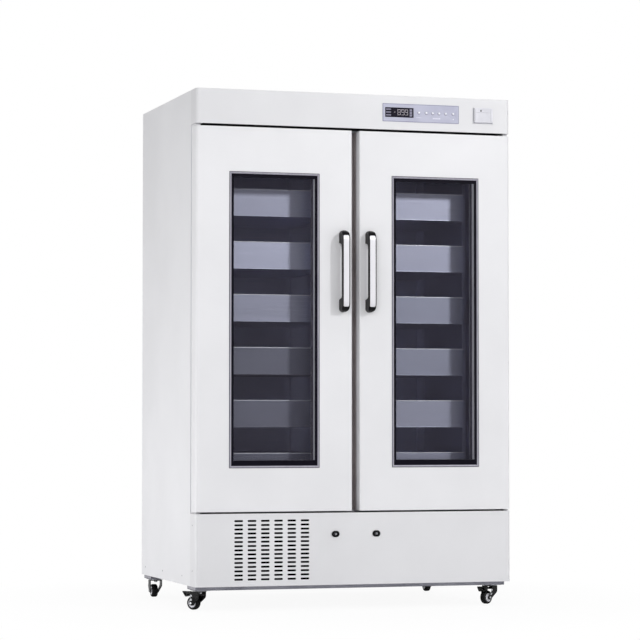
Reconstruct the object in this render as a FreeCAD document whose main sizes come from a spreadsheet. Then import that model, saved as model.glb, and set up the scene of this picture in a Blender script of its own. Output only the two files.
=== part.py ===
import FreeCAD, Part
import math
import os
import re
import Sketcher

# Blood bank refrigerator with two glazed doors, twelve drawers and four casters.
# X runs to the right, Y to the back and Z up. The origin is on the floor, under the
# centre of the bounding box, and every size is in millimetres.
# Lengths called "behind" are counted backwards from the plane of the doors' faces.

SIZES = {
    # whole cabinet
    "width": 1220,
    "depth": 840,
    "height": 1900,
    "handle_reach": 48,
    "body_lift": 88,
    "skin": 1.2,
    "corner": 12,
    # front zones, measured up from the floor
    "base_top": 352,
    "door_bottom": 358.5,
    "door_top": 1763,
    "header_bottom": 1772,
    # insulated compartment
    "frame_behind": 74,
    "frame_plate": 4,
    "cavity_half": 548,
    "cavity_bottom": 405,
    "cavity_top": 1717,
    "cavity_back": 780,
    "foam_bottom": 335,
    "foam_top": 1790,
    "liner_sheet": 1,
    "mullion_half": 46,
    "mullion_deep": 50,
    # doors
    "centre_gap": 29,
    "free_corner": 5,
    "door_pan": 64,
    "door_thick": 68,
    "gasket_thick": 5.5,
    "gasket_wide": 20,
    "gasket_inset": 7,
    "window_near": 140.5,
    "window_far": 484.5,
    "window_bottom": 517,
    "window_top": 1599,
    "bezel_wide": 8,
    "bezel_proud": 3,
    "pane_thick": 5,
    "pane_edge": 5.5,
    "pane_behind": 2,
    "pane_room": 0.4,
    "reveal_side": 17.5,
    "reveal_sill": 28,
    "inner_pane_behind": 46,
    # door hinges
    "hinge_inset": 12,
    "hinge_behind": 25,
    "pin_radius": 5,
    "pin_clearance": 0.05,
    "pin_deep": 15,
    "bracket_thick": 4,
    "top_bracket_thick": 6,
    "bracket_wide": 18,
    "bracket_leg": 20,
    "bracket_gap": 1,
    # door handles
    "handle_centre": 51,
    "handle_bottom": 1089,
    "handle_long": 302,
    "handle_wide": 28,
    "handle_grip": 17,
    "handle_foot": 46,
    "handle_bend": 36,
    "handle_inner_bend": 9,
    "insert_half": 11,
    "insert_round": 5,
    "insert_inset": 19,
    "insert_deep": 1.2,
    # control panel and printer
    "panel_left": 105,
    "panel_right": 407,
    "panel_bottom": 1802.4,
    "panel_top": 1870,
    "panel_proud": 1.5,
    "panel_box_deep": 45,
    "display_left": 115,
    "display_right": 227,
    "display_bottom": 1819,
    "display_top": 1855.5,
    "button_height": 1838.8,
    "button_radius": 4,
    "button_lift": 2.9,
    "button_stem": 2.5,
    "well_radius": 2.9,
    "well_deep": 9,
    "printer_left": 463.5,
    "printer_right": 542.6,
    "printer_bottom": 1807,
    "printer_top": 1865.8,
    "flap_thick": 3.3,
    "flap_gap": 0.3,
    "tray_deep": 60,
    "tray_wall": 2,
    "tray_edge": 3,
    "paper_radius": 16,
    # louvre and locks of the base panel
    "slot_wide": 32.7,
    "slot_high": 6.4,
    "slot_pitch_across": 50.3,
    "slot_pitch_up": 15.15,
    "louvre_left": -464,
    "louvre_bottom": 110,
    "lock_apart": 79,
    "lock_height": 274,
    "lock_wide": 30,
    "lock_high": 23,
    "lock_proud": 4,
    "lock_neck_radius": 8,
    "lock_deep": 24,
    "plug_radius": 6,
    "plug_proud": 1.5,
    "keyway_half_wide": 0.9,
    "keyway_half_high": 4,
    # drawers and their racks
    "drawer_near": 66,
    "drawer_far": 462,
    "drawer_behind": 100,
    "drawer_long": 560,
    "drawer_high": 101,
    "drawer_sheet": 1,
    "drawer_first": 470,
    "drawer_pitch": 195,
    "hem_high": 6,
    "hem_thick": 4,
    "runner_near": 62,
    "runner_far": 466,
    "runner_web": 26,
    "runner_flange": 12,
    "runner_sheet": 1.5,
    "post_wide": 14,
    "post_front_behind": 130,
    "post_back_behind": 640,
    # base frame and casters
    "beam_half": 600,
    "beam_high": 15,
    "beam_sheet": 2,
    "front_beam_behind": 40,
    "front_beam_deep": 115,
    "rear_beam_behind": 730,
    "rear_beam_deep": 108,
    "caster_x": 567,
    "caster_front_behind": 93,
    "caster_rear_behind": 784,
    "plate_half": 30,
    "plate_thick": 2.5,
    "kingpin_radius": 4,
    "wheel_radius": 25,
    "wheel_wide": 23,
    "trail": 29,
    "axle_radius": 3,
    "fork_sheet": 2.6,
    "fork_top_half": 24,
    "fork_foot_half": 16.2,
    "fork_bend": 45,
    "fork_foot": 16,
    "fork_crown": 68,
    "fork_lead": 9,
    "race_radius": 20,
    "race_thick": 2.1,
    "nut_radius": 6.5,
    "nut_high": 5.5,
    "pedal_pivot": 12,
    "pedal_height": 59,
    "pedal_radius": 2,
    "pedal_half": 15.2,
    "pedal_sheet": 2,
    "pedal_reach": 77,
    "pedal_tip_half": 6,
    # refrigeration
    "compressor_x": 330,
    "compressor_behind": 470,
    "compressor_radius": 80,
    "condenser_x": -322,
    "condenser_behind": 100,
    "fan_radius": 98,
    "duct_behind": 700,
    "vent_pitch_across": 230,
    "vent_pitch_up": 190,
    # low in the back
    "rear_slots_left": -430,
    "rear_slots_up": 60,
    "rear_slot_wide": 60,
    "rear_slot_high": 8,
    "rear_slot_pitch_across": 80,
    "rear_slot_pitch_up": 20,
    "inlet_left": 400,
    "inlet_right": 450,
    "inlet_bottom": 148,
    "inlet_top": 180,
    "inlet_deep": 32,
}

FRONT = "((handle_reach - depth) / 2)"
BACK = "((handle_reach + depth) / 2)"
BUTTONS = [248, 277.5, 302.5, 328, 354, 384]
BUTTON_NAMES = ["mute", "lamp", "set", "up", "down", "power"]
LEVELS = 6
SLOT_COLUMNS = 6
SLOT_ROWS = 15
# Each caster: side, distance behind the front, and the way the wheel trails, in degrees from +X.
CASTERS = {
    "front_left": (-1, "caster_front_behind", 129),
    "front_right": (1, "caster_front_behind", 211),
    "rear_left": (-1, "caster_rear_behind", 90),
    "rear_right": (1, "caster_rear_behind", 90),
}

doc = FreeCAD.newDocument("blood_bank_refrigerator")
sheet = doc.addObject("Spreadsheet::Sheet", "sizes")
for row, (alias, value) in enumerate(SIZES.items(), start=1):
    sheet.set(f"A{row}", alias)
    sheet.set(f"B{row}", str(value))
    sheet.setAlias(f"B{row}", alias)
doc.recompute()

ALIAS = re.compile(r"\b(" + "|".join(SIZES) + r")\b")
ALONG = {
    "X": FreeCAD.Rotation(FreeCAD.Vector(0, 1, 0), 90),
    "Y": FreeCAD.Rotation(FreeCAD.Vector(1, 0, 0), -90),
    "Z": FreeCAD.Rotation(),
}
PLANES = {"XY": ("XY_Plane", 1), "XZ": ("XZ_Plane", -1), "YZ": ("YZ_Plane", 1)}
nodes = {}


def linked(text):
    """An expression of the sheet's names, in the form that the document stores."""
    return ALIAS.sub(r"sizes.\1", str(text))


def amount(text):
    """The number of millimetres that an expression comes to."""
    return float(sheet.evalExpression(linked(text)))


def bind(thing, **formulas):
    """Ties properties of an object to the sheet."""
    for name, text in formulas.items():
        thing.setExpression(name, linked(text))


def behind(distance):
    """Y of a point at a distance behind the doors' faces."""
    return f"({FRONT} + {distance})"


def place(thing, x, y, z, turn=None):
    """Puts an object at a point, after a turn about its own origin."""
    if turn is not None:
        thing.Placement = FreeCAD.Placement(FreeCAD.Vector(), turn)
    for axis, text in zip("xyz", (x, y, z)):
        thing.setExpression(f"Placement.Base.{axis}", linked(text))
    return thing


def box(x0, x1, y0, y1, z0, z1, name="Block"):
    """A block between two corners."""
    block = doc.addObject("Part::Box", name)
    bind(block, Length=f"({x1}) - ({x0})", Width=f"({y1}) - ({y0})", Height=f"({z1}) - ({z0})")
    return place(block, x0, y0, z0)


def rod(axis, x, y, z, radius, length, name="Rod"):
    """A cylinder that starts at a point and runs along an axis."""
    cylinder = doc.addObject("Part::Cylinder", name)
    bind(cylinder, Radius=radius, Height=length)
    return place(cylinder, x, y, z, ALONG[axis])


def group(pieces, name="Group"):
    """Separate solids that belong to one node."""
    bundle = doc.addObject("Part::Compound", name)
    bundle.Links = pieces
    return bundle


def fuse(pieces, name="Joined"):
    """Pieces welded or moulded into one solid."""
    joined = doc.addObject("Part::MultiFuse", name)
    joined.Shapes = pieces
    joined.Refine = True
    return joined


def cut(base, *tools, name="Cut"):
    """A piece less its holes and hollows."""
    opened = doc.addObject("Part::Cut", name)
    opened.Base = base
    opened.Tool = tools[0] if len(tools) == 1 else group(list(tools), "Tools")
    opened.Refine = True
    return opened


def common(first, second, name="Common"):
    """The space that two pieces share."""
    shared = doc.addObject("Part::Common", name)
    shared.Base = first
    shared.Tool = second
    shared.Refine = True
    return shared


def mirrored(thing, name="Mirrored"):
    """The same piece on the other side of the centre line."""
    twin = doc.addObject("Part::Mirroring", name)
    twin.Source = thing
    twin.Normal = FreeCAD.Vector(1, 0, 0)
    return twin


def node(name, thing):
    """Names a finished sub-part."""
    thing.Label = name
    nodes[name] = thing
    return thing


def pair(stem, right):
    """Names a right-hand sub-part and makes its left-hand twin."""
    node(f"{stem}_right", right)
    node(f"{stem}_left", mirrored(right))


def new_sketch(body, plane, level="0"):
    """An empty sketch on one of the body's own planes, at a level along its axis."""
    role, sign = PLANES[plane]
    sketch = body.newObject("Sketcher::SketchObject", "Sketch")
    origin_plane = next(f for f in body.Origin.OriginFeatures if f.Role == role)
    sketch.AttachmentSupport = [(origin_plane, "")]
    sketch.MapMode = "FlatFace"
    sketch.setExpression("AttachmentOffset.Base.z", linked(f"{sign} * ({level})"))
    return sketch


def hold(sketch, edge, end, u, v):
    """Holds a point of a sketch at two expressions."""
    for kind, text in (("DistanceX", u), ("DistanceY", v)):
        rule = Sketcher.Constraint(kind, -1, 1, edge, end, amount(text))
        number = sketch.addConstraint(rule)
        sketch.setExpression(f"Constraints[{number}]", linked(text))


def outline(sketch, points):
    """A closed straight-sided outline through points given as expressions."""
    first = sketch.GeometryCount
    count = len(points)
    corners = [FreeCAD.Vector(amount(u), amount(v), 0) for u, v in points]
    for i in range(count):
        sketch.addGeometry(Part.LineSegment(corners[i], corners[(i + 1) % count]), False)
    for i in range(count):
        follows = first + (i + 1) % count
        sketch.addConstraint(Sketcher.Constraint("Coincident", first + i, 2, follows, 1))
    for i, (u, v) in enumerate(points):
        hold(sketch, first + i, 1, u, v)


def circle(sketch, u, v, radius):
    """A circle whose centre and radius are expressions."""
    ring = Part.Circle(FreeCAD.Vector(amount(u), amount(v), 0), FreeCAD.Vector(0, 0, 1), amount(radius))
    edge = sketch.addGeometry(ring, False)
    hold(sketch, edge, 3, u, v)
    number = sketch.addConstraint(Sketcher.Constraint("Radius", edge, amount(radius)))
    sketch.setExpression(f"Constraints[{number}]", linked(radius))


def slot(sketch, u, v, wide, high):
    """A level slot with round ends, whose lower left corner would be at u, v."""
    radius = f"({high}) / 2"
    middle = f"({v}) + {radius}"
    starts = f"({u}) + {radius}"
    reach = f"({wide}) - ({high})"
    r, z, x0 = amount(radius), amount(middle), amount(starts)
    x1 = x0 + amount(reach)
    up = FreeCAD.Vector(0, 0, 1)
    left_circle = Part.Circle(FreeCAD.Vector(x0, z, 0), up, r)
    right_circle = Part.Circle(FreeCAD.Vector(x1, z, 0), up, r)
    quarter = math.pi / 2
    left = sketch.addGeometry(Part.ArcOfCircle(left_circle, quarter, 3 * quarter), False)
    right = sketch.addGeometry(Part.ArcOfCircle(right_circle, -quarter, quarter), False)
    low = sketch.addGeometry(
        Part.LineSegment(FreeCAD.Vector(x0, z - r, 0), FreeCAD.Vector(x1, z - r, 0)), False
    )
    high_edge = sketch.addGeometry(
        Part.LineSegment(FreeCAD.Vector(x1, z + r, 0), FreeCAD.Vector(x0, z + r, 0)), False
    )
    for before, after in ((left, low), (low, right), (right, high_edge), (high_edge, left)):
        sketch.addConstraint(Sketcher.Constraint("Tangent", before, 2, after, 1))
    sketch.addConstraint(Sketcher.Constraint("Equal", left, right))
    sketch.addConstraint(Sketcher.Constraint("Horizontal", low))
    hold(sketch, left, 3, starts, middle)
    for rule, text in (
        (Sketcher.Constraint("Radius", left, r), radius),
        (Sketcher.Constraint("DistanceX", left, 3, right, 3, x1 - x0), reach),
    ):
        number = sketch.addConstraint(rule)
        sketch.setExpression(f"Constraints[{number}]", linked(text))


def pad(body, sketch, plane, length):
    """Grows a sketch towards +X, +Y or +Z."""
    feature = body.newObject("PartDesign::Pad", "Pad")
    feature.Profile = sketch
    feature.Reversed = plane == "XZ"
    bind(feature, Length=length)
    return feature


def pocket(body, sketch, plane, length):
    """Cuts a sketch into the solid, towards +X, +Y or +Z."""
    feature = body.newObject("PartDesign::Pocket", "Pocket")
    feature.Profile = sketch
    feature.Reversed = plane != "XZ"
    bind(feature, Length=length)
    return feature


def prism(name, plane, level, points, length):
    """A body with one straight-sided outline, grown along the plane's axis."""
    body = doc.addObject("PartDesign::Body", name)
    sketch = new_sketch(body, plane, level)
    outline(sketch, points)
    pad(body, sketch, plane, length)
    doc.recompute()
    return body


def rectangle(u0, u1, v0, v1):
    """The four corners of a rectangle."""
    return [(u0, v0), (u1, v0), (u1, v1), (u0, v1)]


def round_edges(body, radius, wanted):
    """Rounds the edges of a body that a test picks out."""
    doc.recompute()
    base = body.Tip
    picked = [f"Edge{i}" for i, edge in enumerate(base.Shape.Edges, start=1) if wanted(edge)]
    feature = body.newObject("PartDesign::Fillet", "Round")
    feature.Base = (base, picked)
    bind(feature, Radius=radius)
    doc.recompute()
    return body


def runs_along(edge, axis):
    """Whether an edge is straight and parallel to X, Y or Z."""
    bounds = edge.BoundBox
    spans = {"X": bounds.XLength, "Y": bounds.YLength, "Z": bounds.ZLength}
    own = spans.pop(axis)
    return own > 1e-6 and max(spans.values()) < 1e-6


def turned(name, profile, axis, x, y, z):
    """A round piece: radius and height pairs, spun about an axis through a point."""
    body = doc.addObject("PartDesign::Body", name)
    sketch = new_sketch(body, "XZ")
    outline(sketch, profile)
    feature = body.newObject("PartDesign::Revolution", "Spin")
    feature.Profile = sketch
    feature.ReferenceAxis = (sketch, ["V_Axis"])
    feature.Angle = 360
    return place(body, x, y, z, ALONG[axis])


def repeat(body, feature, sketch, across, columns, up, rows):
    """A rectangular pattern of one feature, in the sketch's own two directions."""
    pattern = body.newObject("PartDesign::LinearPattern", "Grid")
    pattern.Originals = [feature]
    pattern.Direction = (sketch, ["H_Axis"])
    pattern.Direction2 = (sketch, ["V_Axis"])
    bind(pattern, Length=f"({across}) * {columns - 1}", Length2=f"({up}) * {rows - 1}")
    pattern.Occurrences = columns
    pattern.Occurrences2 = rows
    body.Tip = pattern
    return pattern


def cabinet_shell():
    """Outer wrap of painted steel sheet: sides, top, back and floor, with slots low in the back."""
    outer = box("-width / 2", "width / 2", behind("frame_behind"), BACK, "body_lift", "height")
    inner = box(
        "skin - width / 2",
        "width / 2 - skin",
        behind("frame_behind - 1"),
        f"{BACK} - skin",
        "body_lift + skin",
        "height - skin",
    )
    slots = doc.addObject("PartDesign::Body", "RearSlots")
    sketch = new_sketch(slots, "XZ", f"{BACK} - 3 * skin")
    slot(sketch, "rear_slots_left", "body_lift + rear_slots_up", "rear_slot_wide", "rear_slot_high")
    feature = pad(slots, sketch, "XZ", "5 * skin")
    repeat(slots, feature, sketch, "rear_slot_pitch_across", 8, "rear_slot_pitch_up", 8)
    inlet = box("inlet_left", "inlet_right", f"{BACK} - 5", f"{BACK} + 1", "inlet_bottom", "inlet_top")
    node("cabinet_shell", cut(outer, inner, slots, inlet))


def cabinet_insulation():
    """Rigid foam between the outer wrap and the liner."""
    block = box(
        "skin - width / 2",
        "width / 2 - skin",
        behind("frame_behind + frame_plate"),
        f"{BACK} - skin",
        "foam_bottom",
        "foam_top",
    )
    hollow = box(
        "-cavity_half",
        "cavity_half",
        behind("frame_behind"),
        behind("cavity_back"),
        "cavity_bottom",
        "cavity_top",
    )
    node("cabinet_insulation", cut(block, hollow))


def inner_liner():
    """Stainless sheet that lines the cold compartment."""
    outer = box(
        "-cavity_half",
        "cavity_half",
        behind("frame_behind + frame_plate"),
        behind("cavity_back"),
        "cavity_bottom",
        "cavity_top",
    )
    inner = box(
        "liner_sheet - cavity_half",
        "cavity_half - liner_sheet",
        behind("frame_behind"),
        behind("cavity_back - liner_sheet"),
        "cavity_bottom + liner_sheet",
        "cavity_top - liner_sheet",
    )
    node("inner_liner", cut(outer, inner))


def door_frame():
    """Plastic frame round both door openings, with the post that the doors close against."""
    plate = box(
        "skin - width / 2",
        "width / 2 - skin",
        behind("frame_behind"),
        behind("frame_behind + frame_plate"),
        "foam_bottom",
        "foam_top",
    )
    right = box(
        "mullion_half",
        "cavity_half - liner_sheet",
        behind("frame_behind - 1"),
        behind("frame_behind + frame_plate + 1"),
        "cavity_bottom + liner_sheet",
        "cavity_top - liner_sheet",
    )
    post = box(
        "-mullion_half",
        "mullion_half",
        behind("frame_behind"),
        behind("frame_behind + frame_plate + mullion_deep"),
        "cavity_bottom + liner_sheet",
        "cavity_top - liner_sheet",
    )
    node("door_frame", fuse([cut(plate, right, mirrored(right)), post]))


def bent_pan(name, x0, x1, z0, z1, deep, round_left, round_right):
    """Folded sheet pan, open at the back, with rounded upright front corners."""

    def block(inset, back, label):
        left, right = f"({x0}) + {inset}", f"({x1}) - {inset}"
        front = behind(inset)
        body = prism(
            label,
            "XY",
            f"({z0}) + {inset}",
            rectangle(left, right, front, behind(back)),
            f"({z1}) - ({z0}) - 2 * {inset}",
        )
        for radius, x in ((round_left, left), (round_right, right)):
            round_edges(
                body,
                f"({radius}) - {inset}",
                lambda edge, x=x: runs_along(edge, "Z")
                and abs(edge.BoundBox.XMin - amount(x)) < 1e-6
                and abs(edge.BoundBox.YMin - amount(front)) < 1e-6,
            )
        return body

    return cut(block("0", deep, f"{name}_outside"), block("skin", f"{deep} + 1", f"{name}_inside"))


def header_cover():
    """Folded cover across the top of the front, cut out for the controls and the printer."""
    cover = bent_pan(
        "header", "-width / 2", "width / 2", "header_bottom", "height", "frame_behind", "corner", "corner"
    )
    controls = box(
        "panel_left + 4",
        "panel_right - 4",
        behind("-5"),
        behind("5"),
        "panel_bottom + 3",
        "panel_top - 3",
    )
    printer = box(
        "printer_left + 2.5",
        "printer_right - 2.5",
        behind("-5"),
        behind("5"),
        "printer_bottom + 2.5",
        "printer_top - 2.5",
    )
    notch = bracket_flange("header_bottom - 1", "header_bottom + bracket_leg", "bracket_gap")
    node("header_cover", cut(cover, controls, printer, notch, mirrored(notch)))


def base_panel():
    """Folded panel in front of the machine compartment, with a louvre and two lock holes."""
    panel = bent_pan(
        "base", "-width / 2", "width / 2", "body_lift", "base_top", "frame_behind", "corner", "corner"
    )
    louvre = doc.addObject("PartDesign::Body", "Louvre")
    sketch = new_sketch(louvre, "XZ", behind("-1"))
    slot(sketch, "louvre_left", "louvre_bottom", "slot_wide", "slot_high")
    feature = pad(louvre, sketch, "XZ", "4 * skin")
    repeat(louvre, feature, sketch, "slot_pitch_across", SLOT_COLUMNS, "slot_pitch_up", SLOT_ROWS)
    holes = [
        rod("Y", x, behind("-1"), "lock_height", "lock_neck_radius + 0.2", "5")
        for x in ("lock_apart", "-lock_apart")
    ]
    notch = bracket_flange("base_top - bracket_leg", "base_top + 1", "bracket_gap")
    node("base_panel", cut(panel, louvre, *holes, notch, mirrored(notch)))


def doors():
    """Right-hand door: pan, foamed core, bezel, two panes and gasket, each with its left twin."""
    near, far = "centre_gap / 2", "width / 2"
    pan = bent_pan("door", near, far, "door_bottom", "door_top", "door_pan", "free_corner", "corner")
    opening = box(
        "window_near + pane_edge",
        "window_far - pane_edge",
        behind("-1"),
        behind("5"),
        "window_bottom + pane_edge",
        "window_top - pane_edge",
    )
    axis_x = "(width / 2 - hinge_inset)"
    pin_holes = [
        rod("Z", axis_x, behind("hinge_behind"), z, "pin_radius + 2", "3")
        for z in ("door_bottom - 1", "door_top - 2")
    ]
    pair("door_shell", cut(pan, opening, *pin_holes))

    inside = prism(
        "CoreInside",
        "XY",
        "door_bottom + skin",
        rectangle(f"{near} + skin", f"{far} - skin", behind("skin"), behind("door_pan")),
        "door_top - door_bottom - 2 * skin",
    )
    for radius, x in (("free_corner", f"{near} + skin"), ("corner", f"{far} - skin")):
        round_edges(
            inside,
            f"{radius} - skin",
            lambda edge, x=x: runs_along(edge, "Z")
            and abs(edge.BoundBox.XMin - amount(x)) < 1e-6
            and abs(edge.BoundBox.YMin - amount(behind("skin"))) < 1e-6,
        )
    lid = box(
        f"{near} + 1",
        f"{far} - 1",
        behind("door_pan"),
        behind("door_thick"),
        "door_bottom + 1",
        "door_top - 1",
    )
    tunnel = box(
        "window_near + reveal_side",
        "window_far - reveal_side",
        behind("0"),
        behind("door_thick + 1"),
        "window_bottom + reveal_sill",
        "window_top - reveal_side",
    )
    outer_seat = box(
        "window_near + pane_edge - 0.5",
        "window_far - pane_edge + 0.5",
        behind("0"),
        behind("pane_behind + pane_thick + pane_room"),
        "window_bottom + pane_edge - 0.5",
        "window_top - pane_edge + 0.5",
    )
    inner_seat = box(
        "window_near + pane_edge - 0.5",
        "window_far - pane_edge + 0.5",
        behind("inner_pane_behind"),
        behind("door_thick + 1"),
        "window_bottom + pane_edge - 0.5",
        "window_top - pane_edge + 0.5",
    )
    bore = "pin_radius + pin_clearance"
    bores = [
        rod("Z", axis_x, behind("hinge_behind"), "door_bottom - 1", bore, "pin_deep + 4"),
        rod("Z", axis_x, behind("hinge_behind"), "door_top - pin_deep - 3", bore, "pin_deep + 4"),
    ]
    pair("door_core", cut(fuse([inside, lid]), tunnel, outer_seat, inner_seat, *bores))

    flange = box(
        "window_near", "window_far", behind("-bezel_proud"), behind("0"), "window_bottom", "window_top"
    )
    neck = box(
        "window_near + pane_edge + 0.1",
        "window_far - pane_edge - 0.1",
        behind("0"),
        behind("pane_behind - 0.3"),
        "window_bottom + pane_edge + 0.1",
        "window_top - pane_edge - 0.1",
    )
    sight = box(
        "window_near + bezel_wide",
        "window_far - bezel_wide",
        behind("-bezel_proud - 1"),
        behind("pane_behind + 1"),
        "window_bottom + bezel_wide",
        "window_top - bezel_wide",
    )
    pair("window_bezel", cut(fuse([flange, neck]), sight))

    panes = [
        box(
            "window_near + pane_edge",
            "window_far - pane_edge",
            behind(level),
            behind(f"{level} + pane_thick"),
            "window_bottom + pane_edge",
            "window_top - pane_edge",
        )
        for level in ("pane_behind", "inner_pane_behind + 0.3")
    ]
    pair("window_glass", group(panes))

    rim = [
        f"{near} + gasket_inset",
        f"{far} - gasket_inset",
        "door_bottom + gasket_inset",
        "door_top - gasket_inset",
    ]
    strip = box(rim[0], rim[1], behind("door_thick"), behind("door_thick + gasket_thick"), rim[2], rim[3])
    hollow = box(
        f"{rim[0]} + gasket_wide",
        f"{rim[1]} - gasket_wide",
        behind("door_thick - 1"),
        behind("door_thick + gasket_thick + 1"),
        f"{rim[2]} + gasket_wide",
        f"{rim[3]} - gasket_wide",
    )
    pair("door_gasket", cut(strip, hollow))


def handle_side(name, inset, half_wide):
    """Side view of the bow handle, drawn smaller by an inset on its outer face."""
    front = f"({FRONT} - handle_reach + {inset})"
    back = f"({FRONT} - handle_reach + handle_grip)"
    low, high = f"(handle_bottom + {inset})", f"(handle_bottom + handle_long - {inset})"
    body = prism(
        name,
        "YZ",
        f"handle_centre - {half_wide}",
        [
            (FRONT, low),
            (front, low),
            (front, high),
            (FRONT, high),
            (FRONT, "handle_bottom + handle_long - handle_foot"),
            (back, "handle_bottom + handle_long - handle_foot - 7"),
            (back, "handle_bottom + handle_foot + 7"),
            (FRONT, "handle_bottom + handle_foot"),
        ],
        f"2 * ({half_wide})",
    )
    for radius, y in ((f"handle_bend - {inset}", amount(front)), ("handle_inner_bend", amount(back))):
        round_edges(
            body,
            radius,
            lambda edge, y=y: runs_along(edge, "X") and abs(edge.BoundBox.YMin - y) < 1e-6,
        )
    return body


def door_handle():
    """Moulded bow handle: two feet, a grip that stands off the door, and a groove for an insert."""
    face = prism(
        "HandleFace",
        "XZ",
        f"{FRONT} - handle_reach - 1",
        rectangle(
            "handle_centre - handle_wide / 2",
            "handle_centre + handle_wide / 2",
            "handle_bottom",
            "handle_bottom + handle_long",
        ),
        "handle_reach + 1",
    )
    round_edges(face, "handle_wide / 2 - 0.2", lambda edge: runs_along(edge, "Y"))
    bow = common(handle_side("HandleSide", "0", "handle_wide / 2"), face)
    window = prism(
        "InsertWindow",
        "XZ",
        f"{FRONT} - handle_reach - 1",
        rectangle(
            "handle_centre - insert_half",
            "handle_centre + insert_half",
            "handle_bottom + insert_inset",
            "handle_bottom + handle_long - insert_inset",
        ),
        "handle_reach / 2",
    )
    round_edges(window, "insert_round", lambda edge: runs_along(edge, "Y"))
    groove = cut(window, handle_side("HandleCore", "insert_deep", "handle_wide"), name="Groove")
    pair("door_handle", cut(bow, groove))


def bracket_flange(low, high, room="0"):
    """Upright leg of a hinge bracket, screwed to the door frame; room is the air left round it."""
    axis_x = "(width / 2 - hinge_inset)"
    return box(
        f"{axis_x} - bracket_wide / 2 - {room}",
        f"{axis_x} + bracket_wide / 2 + {room}",
        behind(f"frame_behind - bracket_thick - {room}"),
        behind(f"frame_behind + {room}"),
        low,
        high,
    )


def hinge_brackets():
    """Four cranked plates fixed to the door frame, each with a pin that a door turns on."""
    axis_x = "(width / 2 - hinge_inset)"
    left, right = f"{axis_x} - bracket_wide / 2", f"{axis_x} + bracket_wide / 2"
    front, back = behind("hinge_behind - bracket_wide / 2"), behind("frame_behind")
    top_low, top_high = "header_bottom - bracket_gap - top_bracket_thick", "header_bottom - bracket_gap"
    low_low, low_high = "base_top + bracket_gap", "base_top + bracket_gap + bracket_thick"
    top_pin = rod(
        "Z",
        axis_x,
        behind("hinge_behind"),
        "door_top - pin_deep",
        "pin_radius",
        f"{top_high} - door_top + pin_deep",
    )
    low_pin = rod(
        "Z",
        axis_x,
        behind("hinge_behind"),
        low_low,
        "pin_radius",
        "door_bottom - base_top - bracket_gap + pin_deep",
    )
    top = fuse(
        [
            box(left, right, front, back, top_low, top_high),
            bracket_flange(top_low, f"{top_low} + bracket_leg"),
            top_pin,
        ]
    )
    low = fuse(
        [
            box(left, right, front, back, low_low, low_high),
            bracket_flange(f"{low_high} - bracket_leg", low_high),
            low_pin,
        ]
    )
    node("hinge_brackets", group([top, low, mirrored(top), mirrored(low)]))


def control_panel():
    """Keypad plate with its electronics box behind it, a display window and six button wells."""
    plate = box(
        "panel_left", "panel_right", behind("-panel_proud"), behind("0"), "panel_bottom", "panel_top"
    )
    housing = box(
        "panel_left + 5",
        "panel_right - 5",
        behind("0"),
        behind("panel_box_deep"),
        "panel_bottom + 4",
        "panel_top - 4",
    )
    window = box(
        "display_left",
        "display_right",
        behind("-panel_proud - 1"),
        behind("0"),
        "display_bottom",
        "display_top",
    )
    wells = [
        rod("Y", x, behind("-panel_proud - 1"), "button_height", "well_radius", "panel_proud + well_deep")
        for x in BUTTONS
    ]
    node("control_panel", cut(fuse([plate, housing]), window, *wells))


def button(name, x):
    """Domed push button on a stem that slides in its well."""
    body = turned(
        "Button",
        [
            ("0", "0"),
            ("button_radius - 1", "0"),
            ("button_radius", "0.8"),
            ("button_radius", "2"),
            ("button_stem", "2"),
            ("button_stem", "button_lift + panel_proud + 4"),
            ("0", "button_lift + panel_proud + 4"),
        ],
        "Y",
        x,
        behind("-panel_proud - button_lift"),
        "button_height",
    )
    node(f"button_{name}", body)


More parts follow.
